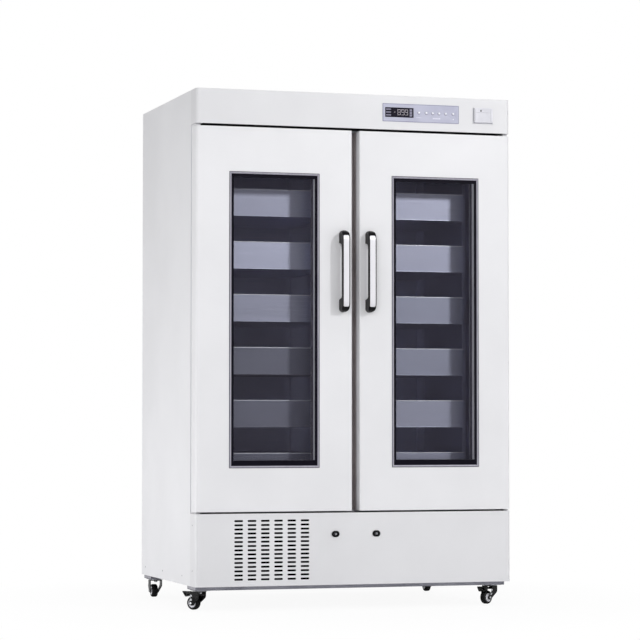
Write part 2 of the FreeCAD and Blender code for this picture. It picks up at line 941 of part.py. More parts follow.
def printer():
    """Chart printer behind a flap: framed tray with a paper roll, and the flap on two pins."""
    frame = box(
        "printer_left",
        "printer_right",
        behind("-panel_proud"),
        behind("0"),
        "printer_bottom",
        "printer_top",
    )
    tray = box(
        "printer_left + tray_edge",
        "printer_right - tray_edge",
        behind("0"),
        behind("tray_deep"),
        "printer_bottom + tray_edge",
        "printer_top - tray_edge",
    )
    hollow = box(
        "printer_left + tray_edge + tray_wall",
        "printer_right - tray_edge - tray_wall",
        behind("-panel_proud - 1"),
        behind("tray_deep - tray_wall"),
        "printer_bottom + tray_edge + tray_wall",
        "printer_top - tray_edge - tray_wall",
    )
    axis_y = "-panel_proud - flap_gap - flap_thick / 2"
    axis_z = "(printer_bottom + 1 + flap_thick / 2)"
    ears = [
        box(
            x0,
            x1,
            behind("-panel_proud - flap_thick - flap_gap"),
            behind("-panel_proud"),
            "printer_bottom",
            "printer_bottom + 7",
        )
        for x0, x1 in (
            ("printer_left", "printer_left + 2.4"),
            ("printer_right - 2.4", "printer_right"),
        )
    ]
    pins = [
        rod("X", x, behind(axis_y), axis_z, "1", "5")
        for x in ("printer_left + 1", "printer_right - 6")
    ]
    tray_body = fuse([cut(fuse([frame, tray]), hollow), *ears, *pins])
    roll = rod(
        "X",
        "printer_left + 12",
        behind("38"),
        "printer_bottom + 27",
        "paper_radius",
        "printer_right - printer_left - 24",
    )
    node("printer_housing", group([tray_body, roll]))

    flap = prism(
        "Flap",
        "YZ",
        "printer_left + 2.8",
        rectangle(
            behind("-panel_proud - flap_gap - flap_thick"),
            behind("-panel_proud - flap_gap"),
            "printer_bottom + 1",
            "printer_top - 1",
        ),
        "printer_right - printer_left - 5.6",
    )
    low = amount("printer_bottom + 1")
    round_edges(
        flap,
        "flap_thick / 2 - 0.05",
        lambda edge: runs_along(edge, "X") and abs(edge.BoundBox.ZMin - low) < 1e-6,
    )
    bores = [
        rod("X", x, behind(axis_y), axis_z, "1.05", "5")
        for x in ("printer_left + 2", "printer_right - 7")
    ]
    notch = box(
        "(printer_left + printer_right) / 2 - 6",
        "(printer_left + printer_right) / 2",
        behind("-panel_proud - flap_gap - flap_thick - 1"),
        behind("-panel_proud - flap_thick + 1.2"),
        "printer_top - 9",
        "printer_top - 5",
    )
    node("printer_flap", cut(flap, *bores, notch))


def locks():
    """Two cam locks in the base panel: fixed oval barrels, and plugs that turn with their cams."""
    flange = doc.addObject("PartDesign::Body", "LockFlange")
    sketch = new_sketch(flange, "XZ", behind("-lock_proud"))
    slot(
        sketch, "lock_apart - lock_wide / 2", "lock_height - lock_high / 2", "lock_wide", "lock_high"
    )
    pad(flange, sketch, "XZ", "lock_proud")
    face = amount(behind("-lock_proud"))
    round_edges(flange, "1.6", lambda edge: abs(edge.BoundBox.YMax - face) < 1e-6)
    neck = rod("Y", "lock_apart", behind("-1"), "lock_height", "lock_neck_radius", "lock_deep + 1")
    bore = rod(
        "Y",
        "lock_apart",
        behind("-lock_proud - 1"),
        "lock_height",
        "plug_radius + pin_clearance",
        "lock_deep + lock_proud + 2",
    )
    barrel = cut(fuse([flange, neck]), bore)
    node("lock_barrels", group([barrel, mirrored(barrel)]))

    plug = turned(
        "Plug",
        [
            ("0", "-lock_proud - plug_proud"),
            ("plug_radius - 0.7", "-lock_proud - plug_proud"),
            ("plug_radius", "0.7 - lock_proud - plug_proud"),
            ("plug_radius", "lock_deep + 2"),
            ("0", "lock_deep + 2"),
        ],
        "Y",
        "lock_apart",
        behind("0"),
        "lock_height",
    )
    cam = box(
        "lock_apart - 6",
        "lock_apart + 6",
        behind("lock_deep + 1"),
        behind("lock_deep + 4"),
        "lock_height - 34",
        "lock_height + 6",
    )
    keyway = box(
        "lock_apart - keyway_half_wide",
        "lock_apart + keyway_half_wide",
        behind("-lock_proud - plug_proud - 1"),
        behind("lock_deep / 2"),
        "lock_height - keyway_half_high",
        "lock_height + keyway_half_high",
    )
    pair("lock_plug", cut(fuse([plug, cam]), keyway))


def drawer(side, level):
    """Open stainless tray with hemmed front and back rims; level 1 is at the bottom."""
    sheet_edge = "drawer_sheet"
    x0, x1 = ("drawer_near", "drawer_far") if side > 0 else ("-drawer_far", "-drawer_near")
    z0 = f"(drawer_first + drawer_pitch * {level - 1})"
    front, back = behind("drawer_behind"), behind("drawer_behind + drawer_long")
    outer = box(x0, x1, front, back, z0, f"{z0} + drawer_high")
    inner = box(
        f"{x0} + {sheet_edge}",
        f"{x1} - {sheet_edge}",
        f"{front} + {sheet_edge}",
        f"{back} - {sheet_edge}",
        f"{z0} + {sheet_edge}",
        f"{z0} + drawer_high + 1",
    )
    hems = [
        box(x0, x1, y, f"{y} + hem_thick", f"{z0} + drawer_high - hem_high", f"{z0} + drawer_high")
        for y in (front, f"{back} - hem_thick")
    ]
    lips = [
        box(x, f"{x} + hem_thick", front, back, f"{z0} + drawer_high - 2", f"{z0} + drawer_high")
        for x in (x0, f"{x1} - hem_thick")
    ]
    side_name = "right" if side > 0 else "left"
    node(f"drawer_{side_name}_{level}", fuse([cut(outer, inner), *hems, *lips]))


def drawer_racks():
    """Upright posts in both halves of the compartment, and an angle runner under each drawer side."""
    floor, ceiling = "cavity_bottom + liner_sheet", "cavity_top - liner_sheet"
    pieces = []
    for x0, x1 in (
        ("runner_near - runner_sheet - post_wide", "runner_near - runner_sheet"),
        ("runner_far + runner_sheet", "runner_far + runner_sheet + post_wide"),
    ):
        for y in ("post_front_behind", "post_back_behind"):
            pieces.append(box(x0, x1, behind(y), behind(f"{y} + post_wide"), floor, ceiling))
    for level in range(LEVELS):
        z = f"(drawer_first + drawer_pitch * {level} - 0.5)"
        near_edge, far_edge = "runner_near - runner_sheet", "runner_far + runner_sheet"
        for web, flange in (
            ((near_edge, "runner_near"), (near_edge, "runner_near + runner_flange")),
            (("runner_far", far_edge), ("runner_far - runner_flange", far_edge)),
        ):
            ends = behind("post_front_behind - 20"), behind("post_back_behind + post_wide")
            upright = box(*web, *ends, f"{z} - runner_sheet", f"{z} + runner_web")
            level_leg = box(*flange, *ends, f"{z} - runner_sheet", z)
            pieces.append(fuse([upright, level_leg]))
    node("drawer_racks", group(pieces + [mirrored(piece) for piece in pieces]))


def base_frame():
    """Two box beams under the body, each with two caster plates and their kingpins."""
    low, high = "(body_lift - beam_high)", "body_lift"
    pieces = []
    for start, deep in (
        ("front_beam_behind", "front_beam_deep"),
        ("rear_beam_behind", "rear_beam_deep"),
    ):
        outer = box("-beam_half", "beam_half", behind(start), behind(f"{start} + {deep}"), low, high)
        inner = box(
            "-beam_half - 1",
            "beam_half + 1",
            behind(f"{start} + beam_sheet"),
            behind(f"{start} + {deep} - beam_sheet"),
            f"{low} + beam_sheet",
            f"{high} - beam_sheet",
        )
        pieces.append(cut(outer, inner))
    for side, distance, _ in CASTERS.values():
        x = f"{side} * caster_x"
        plate = box(
            f"{x} - plate_half",
            f"{x} + plate_half",
            behind(f"{distance} - plate_half"),
            behind(f"{distance} + plate_half"),
            f"{low} - plate_thick",
            low,
        )
        race_foot = f"{low} - plate_thick - race_thick"
        race = rod("Z", x, behind(distance), race_foot, "race_radius", "race_thick")
        nut_foot = "(fork_crown - fork_sheet - nut_high - 0.4)"
        kingpin = rod("Z", x, behind(distance), nut_foot, "kingpin_radius", f"{low} - {nut_foot}")
        nut = rod("Z", x, behind(distance), nut_foot, "nut_radius", "nut_high")
        pieces.append(fuse([plate, race, kingpin, nut]))
    node("base_frame", group(pieces))


def caster_fork(name, side, distance, heading):
    """Swivel fork drawn with the wheel trailing along +X, then turned about its pivot."""
    front_view = [
        ("-fork_top_half", "fork_crown"),
        ("-fork_top_half", "fork_bend"),
        ("-fork_foot_half", "fork_foot"),
        ("fork_sheet - fork_foot_half", "fork_foot"),
        ("fork_sheet - fork_top_half", "fork_bend"),
        ("fork_sheet - fork_top_half", "fork_crown - fork_sheet"),
        ("fork_top_half - fork_sheet", "fork_crown - fork_sheet"),
        ("fork_top_half - fork_sheet", "fork_bend"),
        ("fork_foot_half - fork_sheet", "fork_foot"),
        ("fork_foot_half", "fork_foot"),
        ("fork_top_half", "fork_bend"),
        ("fork_top_half", "fork_crown"),
    ]
    side_view = [
        ("-fork_lead", "fork_crown + 1"),
        ("-fork_lead", "fork_bend"),
        ("trail - 8", "fork_foot"),
        ("trail + 8", "fork_foot"),
        ("trail + 8", "wheel_radius + 4"),
        ("trail - 5", "fork_bend + 7"),
        ("trail - 5", "fork_crown + 1"),
    ]
    bent = prism("ForkBent", "YZ", "-fork_lead - 1", front_view, "trail + fork_lead + 10")
    outline_cut = prism("ForkOutline", "XZ", "-fork_top_half - 1", side_view, "2 * fork_top_half + 2")
    foot, lead = amount("fork_foot"), amount("-fork_lead")
    round_edges(
        outline_cut,
        "7",
        lambda edge: runs_along(edge, "Y") and abs(edge.BoundBox.ZMin - foot) < 1e-6,
    )
    round_edges(
        outline_cut,
        "18",
        lambda edge: runs_along(edge, "Y")
        and abs(edge.BoundBox.XMin - lead) < 1e-6
        and edge.BoundBox.ZMin < amount("fork_crown"),
    )
    cheeks = common(bent, outline_cut)
    crown = rod("Z", "0", "0", "fork_crown - fork_sheet", "fork_top_half - 1", "fork_sheet")
    axle = rod("Y", "trail", "-fork_foot_half - 2", "wheel_radius", "axle_radius", "2 * fork_foot_half + 4")
    rivet = rod("Y", "pedal_pivot", "-fork_top_half", "pedal_height", "pedal_radius", "2 * fork_top_half")
    hole = rod("Z", "0", "0", "fork_crown - 8", "kingpin_radius + pin_clearance", "12")
    pieces = [cheeks, crown, axle]
    if name.startswith("front"):
        pieces.append(rivet)
    fork = group([cut(fuse(pieces), hole)])
    turn = FreeCAD.Rotation(FreeCAD.Vector(0, 0, 1), heading)
    node(f"caster_fork_{name}", place(fork, f"{side} * caster_x", behind(distance), "0", turn))


def caster_wheel(name, side, distance, heading):
    """Wheel with a dished hub, drawn trailing along +X, then turned about the fork's pivot."""
    half = "wheel_wide / 2"
    near_side = [
        ("axle_radius + pin_clearance", f"-{half} - 1"),
        ("8", f"-{half} - 1"),
        ("9", f"1.5 - {half}"),
        ("14", f"1.5 - {half}"),
        ("16.5", f"-{half}"),
        ("wheel_radius - 3", f"-{half}"),
        ("wheel_radius", f"3 - {half}"),
    ]
    far_side = [(radius, f"-1 * ({level})") for radius, level in reversed(near_side)]
    wheel = turned("Wheel", near_side + far_side, "Y", "trail", "0", "wheel_radius")
    turn = FreeCAD.Rotation(FreeCAD.Vector(0, 0, 1), heading)
    node(f"caster_wheel_{name}", place(group([wheel]), f"{side} * caster_x", behind(distance), "0", turn))


def brake_pedal(name, side, distance, heading):
    """Brake lever: two pierced arms on the fork's rivet and a folded tread behind the wheel."""
    arm_shape = [
        ("pedal_pivot - 5", "pedal_height - 4"),
        ("50", "pedal_height - 2"),
        ("56", "pedal_height - 2"),
        ("56", "pedal_height + 7"),
        ("28", "pedal_height + 5"),
        ("pedal_pivot - 5", "pedal_height + 4"),
    ]
    tread_shape = [
        ("48", "pedal_height - 8"),
        ("58", "pedal_height - 12"),
        ("66", "pedal_height - 6"),
        ("pedal_reach", "pedal_height + 5.5"),
        ("pedal_reach", "pedal_height + 7.5"),
        ("48", "pedal_height + 6.5"),
    ]
    loop_shape = [
        ("53", "pedal_height - 4"),
        ("59", "pedal_height - 6.5"),
        ("68", "pedal_height + 1.5"),
        ("66", "pedal_height + 3"),
        ("53", "pedal_height + 2.5"),
    ]
    plan = [
        ("0", "-pedal_half"),
        ("50", "-pedal_half"),
        ("pedal_reach", "-pedal_tip_half"),
        ("pedal_reach", "pedal_tip_half"),
        ("50", "pedal_half"),
        ("0", "pedal_half"),
    ]
    arms = []
    for level in ("-pedal_half", "pedal_half - pedal_sheet"):
        arm = prism("PedalArm", "XZ", level, arm_shape, "pedal_sheet")
        bore = rod(
            "Y",
            "pedal_pivot",
            f"{level} - 1",
            "pedal_height",
            "pedal_radius + pin_clearance",
            "pedal_sheet + 2",
        )
        arms.append(cut(arm, bore))
    tread = prism("Tread", "XZ", "-pedal_half", tread_shape, "2 * pedal_half")
    loop = prism("TreadLoop", "XZ", "-pedal_half - 1", loop_shape, "2 * pedal_half + 2")
    from_above = prism("PedalPlan", "XY", "pedal_height - 20", plan, "40")
    pedal = group([common(fuse([*arms, cut(tread, loop)]), from_above)])
    turn = FreeCAD.Rotation(FreeCAD.Vector(0, 0, 1), heading)
    node(f"brake_pedal_{name}", place(pedal, f"{side} * caster_x", behind(distance), "0", turn))


def compressor():
    """Sealed compressor can on a foot plate with four rubber bushes."""
    floor = "(body_lift + skin)"
    can = turned(
        "Can",
        [
            ("0", "12"),
            ("compressor_radius - 20", "12"),
            ("compressor_radius", "30"),
            ("compressor_radius", "150"),
            ("compressor_radius - 14", "178"),
            ("compressor_radius - 45", "192"),
            ("0", "196"),
        ],
        "Z",
        "compressor_x",
        behind("compressor_behind"),
        floor,
    )
    x0, x1 = "compressor_x - 115", "compressor_x + 115"
    y0, y1 = behind("compressor_behind - 70"), behind("compressor_behind + 70")
    plate = box(x0, x1, y0, y1, f"{floor} + 10", f"{floor} + 14")
    bushes = [
        rod("Z", f"compressor_x + {dx}", behind(f"compressor_behind + {dy}"), floor, "12", "10")
        for dx in (-95, 95)
        for dy in (-50, 50)
    ]
    node("compressor", fuse([can, plate, *bushes]))


def condenser():
    """Finned condenser behind the louvre, with the fan's shroud, motor and motor bracket."""
    x0, x1 = "condenser_x - 150", "condenser_x + 150"
    low, high = "body_lift + 6", "base_top - 22"
    near = "condenser_behind"
    block = box(x0, x1, behind(near), behind(f"{near} + 44"), low, high)
    fins = doc.addObject("PartDesign::Body", "FinGaps")
    sketch = new_sketch(fins, "XZ", behind(f"{near} - 1"))
    outline(sketch, rectangle(f"{x0} + 12", f"{x0} + 17", f"{low} + 8", f"{high} - 8"))
    feature = pad(fins, sketch, "XZ", "9")
    repeat(fins, feature, sketch, "10", 28, "1", 1)
    coil = cut(block, fins)
    shroud_sheet = box(x0, x1, behind(f"{near} + 44"), behind(f"{near} + 47"), low, high)
    middle = f"({low} + {high}) / 2"
    mouth = rod("Y", "condenser_x", behind(f"{near} + 40"), middle, "fan_radius + 5", "12")
    shroud = cut(shroud_sheet, mouth)
    motor = rod("Y", "condenser_x", behind(f"{near} + 92"), middle, "38", "46")
    shaft = rod("Y", "condenser_x", behind(f"{near} + 60"), middle, "4", "34")
    bracket = fuse(
        [
            motor,
            shaft,
            box(
                "condenser_x - 14",
                "condenser_x + 14",
                behind(f"{near} + 96"),
                behind(f"{near} + 132"),
                "body_lift + skin",
                middle,
            ),
        ]
    )
    node("condenser", group([coil, shroud, bracket]))

    hub = turned(
        "FanHub",
        [("4.05", "0"), ("22", "0"), ("22", "22"), ("4.05", "22")],
        "Y",
        "condenser_x",
        behind(f"{near} + 62"),
        middle,
    )
    blades = []
    for number in range(5):
        blade = prism(
            "FanBlade",
            "XZ",
            "-1",
            [("20", "-13"), ("fan_radius - 10", "-26"), ("fan_radius - 10", "22"), ("20", "11")],
            "2",
        )
        lean = FreeCAD.Rotation(FreeCAD.Vector(1, 0, 0), 24)
        around = FreeCAD.Rotation(FreeCAD.Vector(0, 1, 0), 72 * number)
        blades.append(place(blade, "condenser_x", behind(f"{near} + 73"), middle, around * lean))
    node("condenser_fan", fuse([hub, *blades]))


def evaporator():
    """Finned evaporator high on the back wall, inside a full-height air duct with vent slots."""
    x0, x1 = "-480", "480"
    y0, y1 = behind("duct_behind"), behind("cavity_back - liner_sheet")
    low, high = "cavity_bottom + 15", "cavity_top - 15"
    outer = box(x0, x1, y0, y1, low, high)
    inner = box(
        f"{x0} + liner_sheet",
        f"{x1} - liner_sheet",
        f"{y0} + liner_sheet",
        f"{y1} + 1",
        f"{low} + liner_sheet",
        f"{high} - liner_sheet",
    )
    vents = doc.addObject("PartDesign::Body", "Vents")
    sketch = new_sketch(vents, "XZ", f"{y0} - 1")
    slot(sketch, f"{x0} + 80", f"{low} + 90", "110", "14")
    feature = pad(vents, sketch, "XZ", "4")
    repeat(vents, feature, sketch, "vent_pitch_across", 4, "vent_pitch_up", 6)
    duct = cut(outer, inner, vents)
    coil = box(
        "-400",
        "400",
        behind("duct_behind + 20"),
        behind("cavity_back - 12"),
        f"{high} - 190",
        f"{high} - 30",
    )
    node("evaporator", group([duct, coil]))


def power_inlet():
    """Mains inlet in the cut-out low in the back; its lead isn't part of the model."""
    body = box(
        "inlet_left + 0.2",
        "inlet_right - 0.2",
        f"{BACK} - inlet_deep",
        BACK,
        "inlet_bottom + 0.2",
        "inlet_top - 0.2",
    )
    well = box(
        "inlet_left + 9",
        "inlet_right - 9",
        f"{BACK} - 22",
        f"{BACK} + 1",
        "inlet_bottom + 6",
        "inlet_top - 6",
    )
    blades = [
        box(
            f"inlet_left + {x} - 1",
            f"inlet_left + {x} + 1",
            f"{BACK} - 23",
            f"{BACK} - 6",
            "inlet_bottom + 12",
            "inlet_top - 12",
        )
        for x in (17, 25, 33)
    ]
    node("power_inlet", fuse([cut(body, well), *blades]))


cabinet_shell()
cabinet_insulation()
inner_liner()
door_frame()
header_cover()
base_panel()
doors()
door_handle()
hinge_brackets()
control_panel()
for button_name, button_x in zip(BUTTON_NAMES, BUTTONS):
    button(button_name, button_x)
printer()
locks()
for level_number in range(1, LEVELS + 1):
    drawer(1, level_number)
    drawer(-1, level_number)
drawer_racks()
base_frame()
for caster_name, position in CASTERS.items():
    caster_fork(caster_name, *position)
    caster_wheel(caster_name, *position)
    if caster_name.startswith("front"):
        brake_pedal(caster_name, *position)
compressor()
condenser()
evaporator()
power_inlet()
doc.recompute()

for thing in doc.Objects:
    bad = {"Invalid", "Error"} & set(thing.State)
    if bad:
        raise RuntimeError(f"{thing.Name} ({thing.Label}): {thing.State}")
for name, thing in nodes.items():
    shape = thing.Shape
    if shape.isNull() or not shape.isValid() or not shape.Solids:
        raise RuntimeError(f"{name}: its shape is empty or not valid")

os.makedirs("parts", exist_ok=True)
for name, thing in nodes.items():
    thing.Shape.exportStep(f"parts/{name}.step")
    print(f"{name}: {len(thing.Shape.Solids)} solids, {thing.Shape.Volume / 1000:.1f} cm3")
print(f"{len(nodes)} nodes")
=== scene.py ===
import math

import bmesh
import bpy
from mathutils import Matrix, Vector


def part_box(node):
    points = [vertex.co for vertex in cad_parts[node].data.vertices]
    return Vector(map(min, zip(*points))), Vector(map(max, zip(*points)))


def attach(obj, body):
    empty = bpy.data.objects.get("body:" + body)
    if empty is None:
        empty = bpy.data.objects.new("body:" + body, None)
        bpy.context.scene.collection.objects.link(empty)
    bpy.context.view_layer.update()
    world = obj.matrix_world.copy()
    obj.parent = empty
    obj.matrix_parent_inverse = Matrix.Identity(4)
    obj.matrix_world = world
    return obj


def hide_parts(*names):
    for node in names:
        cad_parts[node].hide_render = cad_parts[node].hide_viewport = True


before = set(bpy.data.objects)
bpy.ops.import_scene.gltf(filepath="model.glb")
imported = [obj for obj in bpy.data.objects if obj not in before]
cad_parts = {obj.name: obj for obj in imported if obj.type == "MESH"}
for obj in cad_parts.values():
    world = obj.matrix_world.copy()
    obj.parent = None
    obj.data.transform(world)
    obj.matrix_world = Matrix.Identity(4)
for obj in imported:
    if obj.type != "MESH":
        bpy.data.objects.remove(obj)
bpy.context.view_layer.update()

# The cabinet is a wrap of thin steel sheet, bent round the sides, top, back and floor, with a
# bluish white powder coat that has a slight orange peel. Small flush screws hold it to the
# beams below and along the back.
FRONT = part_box("door_shell_right")[0].y
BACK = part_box("cabinet_shell")[1].y
WIDTH = 1.220
SHARP = math.radians(35)
FACING = {
    "front": Matrix.Rotation(math.radians(90), 4, "X"),
    "back": Matrix.Rotation(math.radians(-90), 4, "X"),
    "left": Matrix.Rotation(math.radians(-90), 4, "Y"),
    "right": Matrix.Rotation(math.radians(90), 4, "Y"),
}
HEAD_RADIUS = 0.0040
HEAD_THICK = 0.0001
SOCKET_RADIUS = 0.0018
SOCKET_THICK = 0.00015
PANEL_SCREWS = [(FRONT + 0.045, z) for z in (0.145, 0.310)]
BEAM_SCREWS = [(y, 0.120) for y in (-0.20, 0.10, 0.38)]
BACK_SCREWS = [(x, z) for x in (-0.595, 0.595) for z in (0.50, 0.95, 1.40, 1.85)]
REAR_COVER = (-0.575, 0.575, 0.098, 0.372)
COVER_SCREW_EDGE = 0.015
COVER_SCREW_PITCH = 0.224


def colour(code):
    """Linear colour of a six-digit screen colour."""
    parts = [int(code[i : i + 2], 16) / 255 for i in (0, 2, 4)]
    return [p / 12.92 if p <= 0.04045 else ((p + 0.055) / 1.055) ** 2.4 for p in parts] + [1]


def finish(name, code, roughness, metallic=0.0, **sockets):
    """A new finish: one shader with its plain numbers set."""
    made = bpy.data.materials.new(name)
    made.use_nodes = True
    shader = made.node_tree.nodes["Principled BSDF"]
    shader.inputs["Base Color"].default_value = colour(code)
    shader.inputs["Roughness"].default_value = roughness
    shader.inputs["Metallic"].default_value = metallic
    for socket, value in sockets.items():
        shader.inputs[socket.replace("_", " ")].default_value = value
    return made


def node(made, kind, inputs=(), **settings):
    """One more node in a finish; an input is a number or another node's output."""
    new = made.node_tree.nodes.new("ShaderNode" + kind)
    for name, value in settings.items():
        setattr(new, name, value)
    for socket, value in dict(inputs).items():
        if isinstance(value, bpy.types.NodeSocket):
            made.node_tree.links.new(value, new.inputs[socket])
        else:
            new.inputs[socket].default_value = value
    return new


def feed(made, socket, output):
    """Links an output to the finish's shader."""
    shader = made.node_tree.nodes["Principled BSDF"]
    made.node_tree.links.new(output, shader.inputs[socket])


def grain(made, scale, stretch=(1, 1, 1), detail=3.0):
    """Noise in the piece's own coordinates, stretched along the way that it was brushed."""
    place = node(made, "TexCoord")
    mapped = node(made, "Mapping", {"Vector": place.outputs["Object"], "Scale": stretch})
    settings = {"Vector": mapped.outputs["Vector"], "Scale": scale, "Detail": detail}
    return node(made, "TexNoise", settings).outputs["Fac"]


def spread(made, value, before, after):
    """A value carried over from one range to another."""
    ends = {"From Min": before[0], "From Max": before[1], "To Min": after[0], "To Max": after[1]}
    return node(made, "MapRange", {"Value": value, **ends}).outputs["Result"]


def mottled(made, fac, dark, light):
    """A base colour that wanders between two shades."""
    ramp = node(made, "ValToRGB", {"Fac": fac})
    ends = ramp.color_ramp.elements
    ends[0].position, ends[0].color = 0.35, colour(dark)
    ends[1].position, ends[1].color = 0.65, colour(light)
    feed(made, "Base Color", ramp.outputs["Color"])


def uneven(made, fac, low, high):
    """A roughness that wanders between two values."""
    feed(made, "Roughness", spread(made, fac, (0.3, 0.7), (low, high)))


def bumpy(made, fac, depth):
    """Fine relief, with its height in metres."""
    relief = node(made, "Bump", {"Height": fac, "Distance": depth, "Strength": 1.0})
    feed(made, "Normal", relief.outputs["Normal"])


def solid(name):
    """A merged copy of a CAD solid, with its flat faces made whole."""
    bm = bmesh.new()
    bm.from_mesh(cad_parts[name].data)
    bmesh.ops.remove_doubles(bm, verts=bm.verts, dist=0.000002)
    bmesh.ops.dissolve_limit(bm, angle_limit=math.radians(0.5), verts=bm.verts, edges=bm.edges)
    return bm


def add(name, bm, made, body, replaced=(), ease=0.0):
    """Finishes a piece: mesh, finish, eased edges, body and the solids that it stands for."""
    mesh = bpy.data.meshes.new(name)
    bm.to_mesh(mesh)
    bm.free()
    mesh.materials.append(made)
    mesh.shade_smooth()
    mesh.set_sharp_from_angle(angle=SHARP)
    piece = bpy.data.objects.new(name, mesh)
    bpy.context.scene.collection.objects.link(piece)
    if ease:
        edge = piece.modifiers.new("eased edges", "BEVEL")
        edge.width = ease
        edge.segments = 2
        edge.limit_method = "ANGLE"
        edge.angle_limit = SHARP
        edge.use_clamp_overlap = False
        edge.harden_normals = True
    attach(piece, body)
    if replaced:
        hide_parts(*replaced)
    return piece


def stand_in(name, source, made, body, ease=0.0):
    """A finished piece with the shape of the CAD solid that it stands for."""
    return add(name, solid(source), made, body, [source], ease)


def short_bar(bm, radius, deep, place, segments, far=1.0):
    """A short bar centred on its place, round or with flats, that may narrow to its far end."""
    bmesh.ops.create_cone(
        bm,
        cap_ends=True,
        segments=segments,
        radius1=radius,
        radius2=radius * far,
        depth=deep,
        matrix=place,
    )


def flush_screws(heads, sockets, points, facing):
    """Countersunk screws that lie level with a face: thin heads, each with a dark disc that paints
    the shade in its socket.
    """
    for point in points:
        for bm, radius, thick in (
            (heads, HEAD_RADIUS, HEAD_THICK),
            (sockets, SOCKET_RADIUS, SOCKET_THICK),
        ):
            half = Matrix.Translation((0, 0, thick / 2))
            place = Matrix.Translation(point) @ FACING[facing] @ half
            short_bar(bm, radius, thick, place, segments=24, far=0.96)


paint = finish("white powder coat", "e8e8eb", 0.40, Specular_IOR_Level=0.3)
mottled(paint, grain(paint, 2.5), "e5e5e8", "eaeaed")
uneven(paint, grain(paint, 9.0), 0.36, 0.46)
bumpy(paint, grain(paint, 700.0, detail=1.0), 0.00003)
stand_in("cabinet_wrap", "cabinet_shell", paint, "cabinet", 0.0008)

zinc = finish("zinc plate", "c3c5c9", 0.34, 0.9)
mottled(zinc, grain(zinc, 60.0), "b4b6ba", "cdcfd2")
uneven(zinc, grain(zinc, 120.0), 0.26, 0.42)
# The dark discs in the screw heads are painted shade in their sockets.
socket_shade_paint = finish("painted socket shade", "26262a", 0.7)
mottled(socket_shade_paint, grain(socket_shade_paint, 300.0), "202024", "2c2c31")
heads, sockets = bmesh.new(), bmesh.new()
for facing, x in (("left", -WIDTH / 2), ("right", WIDTH / 2)):
    flush_screws(heads, sockets, [(x, y, z) for y, z in PANEL_SCREWS + BEAM_SCREWS], facing)
columns = [REAR_COVER[0] + COVER_SCREW_EDGE + COVER_SCREW_PITCH * i for i in range(6)]
rows = (REAR_COVER[2] + COVER_SCREW_EDGE, REAR_COVER[3] - COVER_SCREW_EDGE)
cover_screws = [(x, z) for x in columns for z in rows]
flush_screws(heads, sockets, [(x, BACK, z) for x, z in cover_screws + BACK_SCREWS], "back")
add("wrap_screws", heads, zinc, "cabinet")
add("wrap_sockets", sockets, socket_shade_paint, "cabinet")

# A flat sheet cover, coated like the wrap and held by twelve of the screws, closes the machine
# space at the back. It meets the wrap along a fine seam.
COVER_SEAM_STEPS = [(0, 0.0001), (0.0012, 0.0), (0, -0.0001)]


def plate(area, y, facing=-1):
    """A flat face on the front or on the back, and the new mesh that it is in."""
    bm = bmesh.new()
    x0, x1, z0, z1 = area
    corners = [(x0, y, z0), (x1, y, z0), (x1, y, z1), (x0, y, z1)]
    if facing > 0:
        corners.reverse()
    face = bm.faces.new([bm.verts.new(corner) for corner in corners])
    bm.normal_update()
    return bm, face


def surround(area, y, steps, facing=-1):
    """A closed frame grown from a flat rectangle: each step is an inset and a rise."""
    bm, face = plate(area, y, facing)
    for inset, rise in steps:
        if inset:
            bmesh.ops.inset_region(
                bm, faces=[face], thickness=inset, depth=rise, use_even_offset=True
            )
        else:
            face = bmesh.ops.extrude_discrete_faces(bm, faces=[face])["faces"][0]
            bmesh.ops.translate(bm, verts=face.verts, vec=(0, facing * rise, 0))
    bmesh.ops.delete(bm, geom=[face], context="FACES_ONLY")
    bmesh.ops.bridge_loops(bm, edges=[e for e in bm.edges if e.is_boundary])
    bmesh.ops.recalc_face_normals(bm, faces=bm.faces)
    return bm


seam_line = finish("shaded seam", "6c6c72", 0.8)
mottled(seam_line, grain(seam_line, 60.0), "66666c", "727278")
seam = surround(REAR_COVER, BACK, COVER_SEAM_STEPS, facing=1)
add("rear_cover_seam", seam, seam_line, "cabinet")

# Rigid foam is blown in between the wrap and the liner, where it sets and holds the two
# together. It is cream, with fine closed cells.


def dress(made, name):
    """Gives a CAD solid a finish."""
    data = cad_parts[name].data
    data.materials.clear()
    data.materials.append(made)


foam = finish("rigid foam", "e9dcae", 0.9)
mottled(foam, grain(foam, 400.0), "e0d09c", "efe4bb")
bumpy(foam, grain(foam, 900.0), 0.0004)
dress(foam, "cabinet_insulation")

# The liner of the cold compartment is stainless sheet, brushed across. It is folded at the
# corners and lies against the foam.
steel = finish("brushed stainless", "c0c4da", 0.38, 1.0)
mottled(steel, grain(steel, 1.0, (3, 260, 900)), "b6bad2", "cbcee2")
uneven(steel, grain(steel, 1.0, (4, 300, 1100)), 0.32, 0.44)
bumpy(steel, grain(steel, 1.0, (6, 500, 1900)), 0.00002)
dress(steel, "inner_liner")

# A plastic frame goes round both door openings and carries the middle post that the doors
# close against. It is pressed from white sheet with a fine matt grain.
frame_plastic = finish("frame plastic", "dfe0e6", 0.5)
mottled(frame_plastic, grain(frame_plastic, 8.0), "dadbe2", "e4e5ea")
bumpy(frame_plastic, grain(frame_plastic, 1500.0, detail=1.0), 0.00003)
stand_in("opening_frame", "door_frame", frame_plastic, "cabinet", 0.001)

# The header is one folded steel cover across the top of the front, from a slightly darker
# batch of the white coat. Its face has cut-outs for the control panel and for the printer.
cover_paint = finish("white powder coat, covers", "e0e0e3", 0.42, Specular_IOR_Level=0.3)
mottled(cover_paint, grain(cover_paint, 2.5), "dddde0", "e2e2e5")
uneven(cover_paint, grain(cover_paint, 9.0), 0.38, 0.48)
bumpy(cover_paint, grain(cover_paint, 700.0, detail=1.0), 0.00003)
stand_in("header", "header_cover", cover_paint, "cabinet", 0.0007)

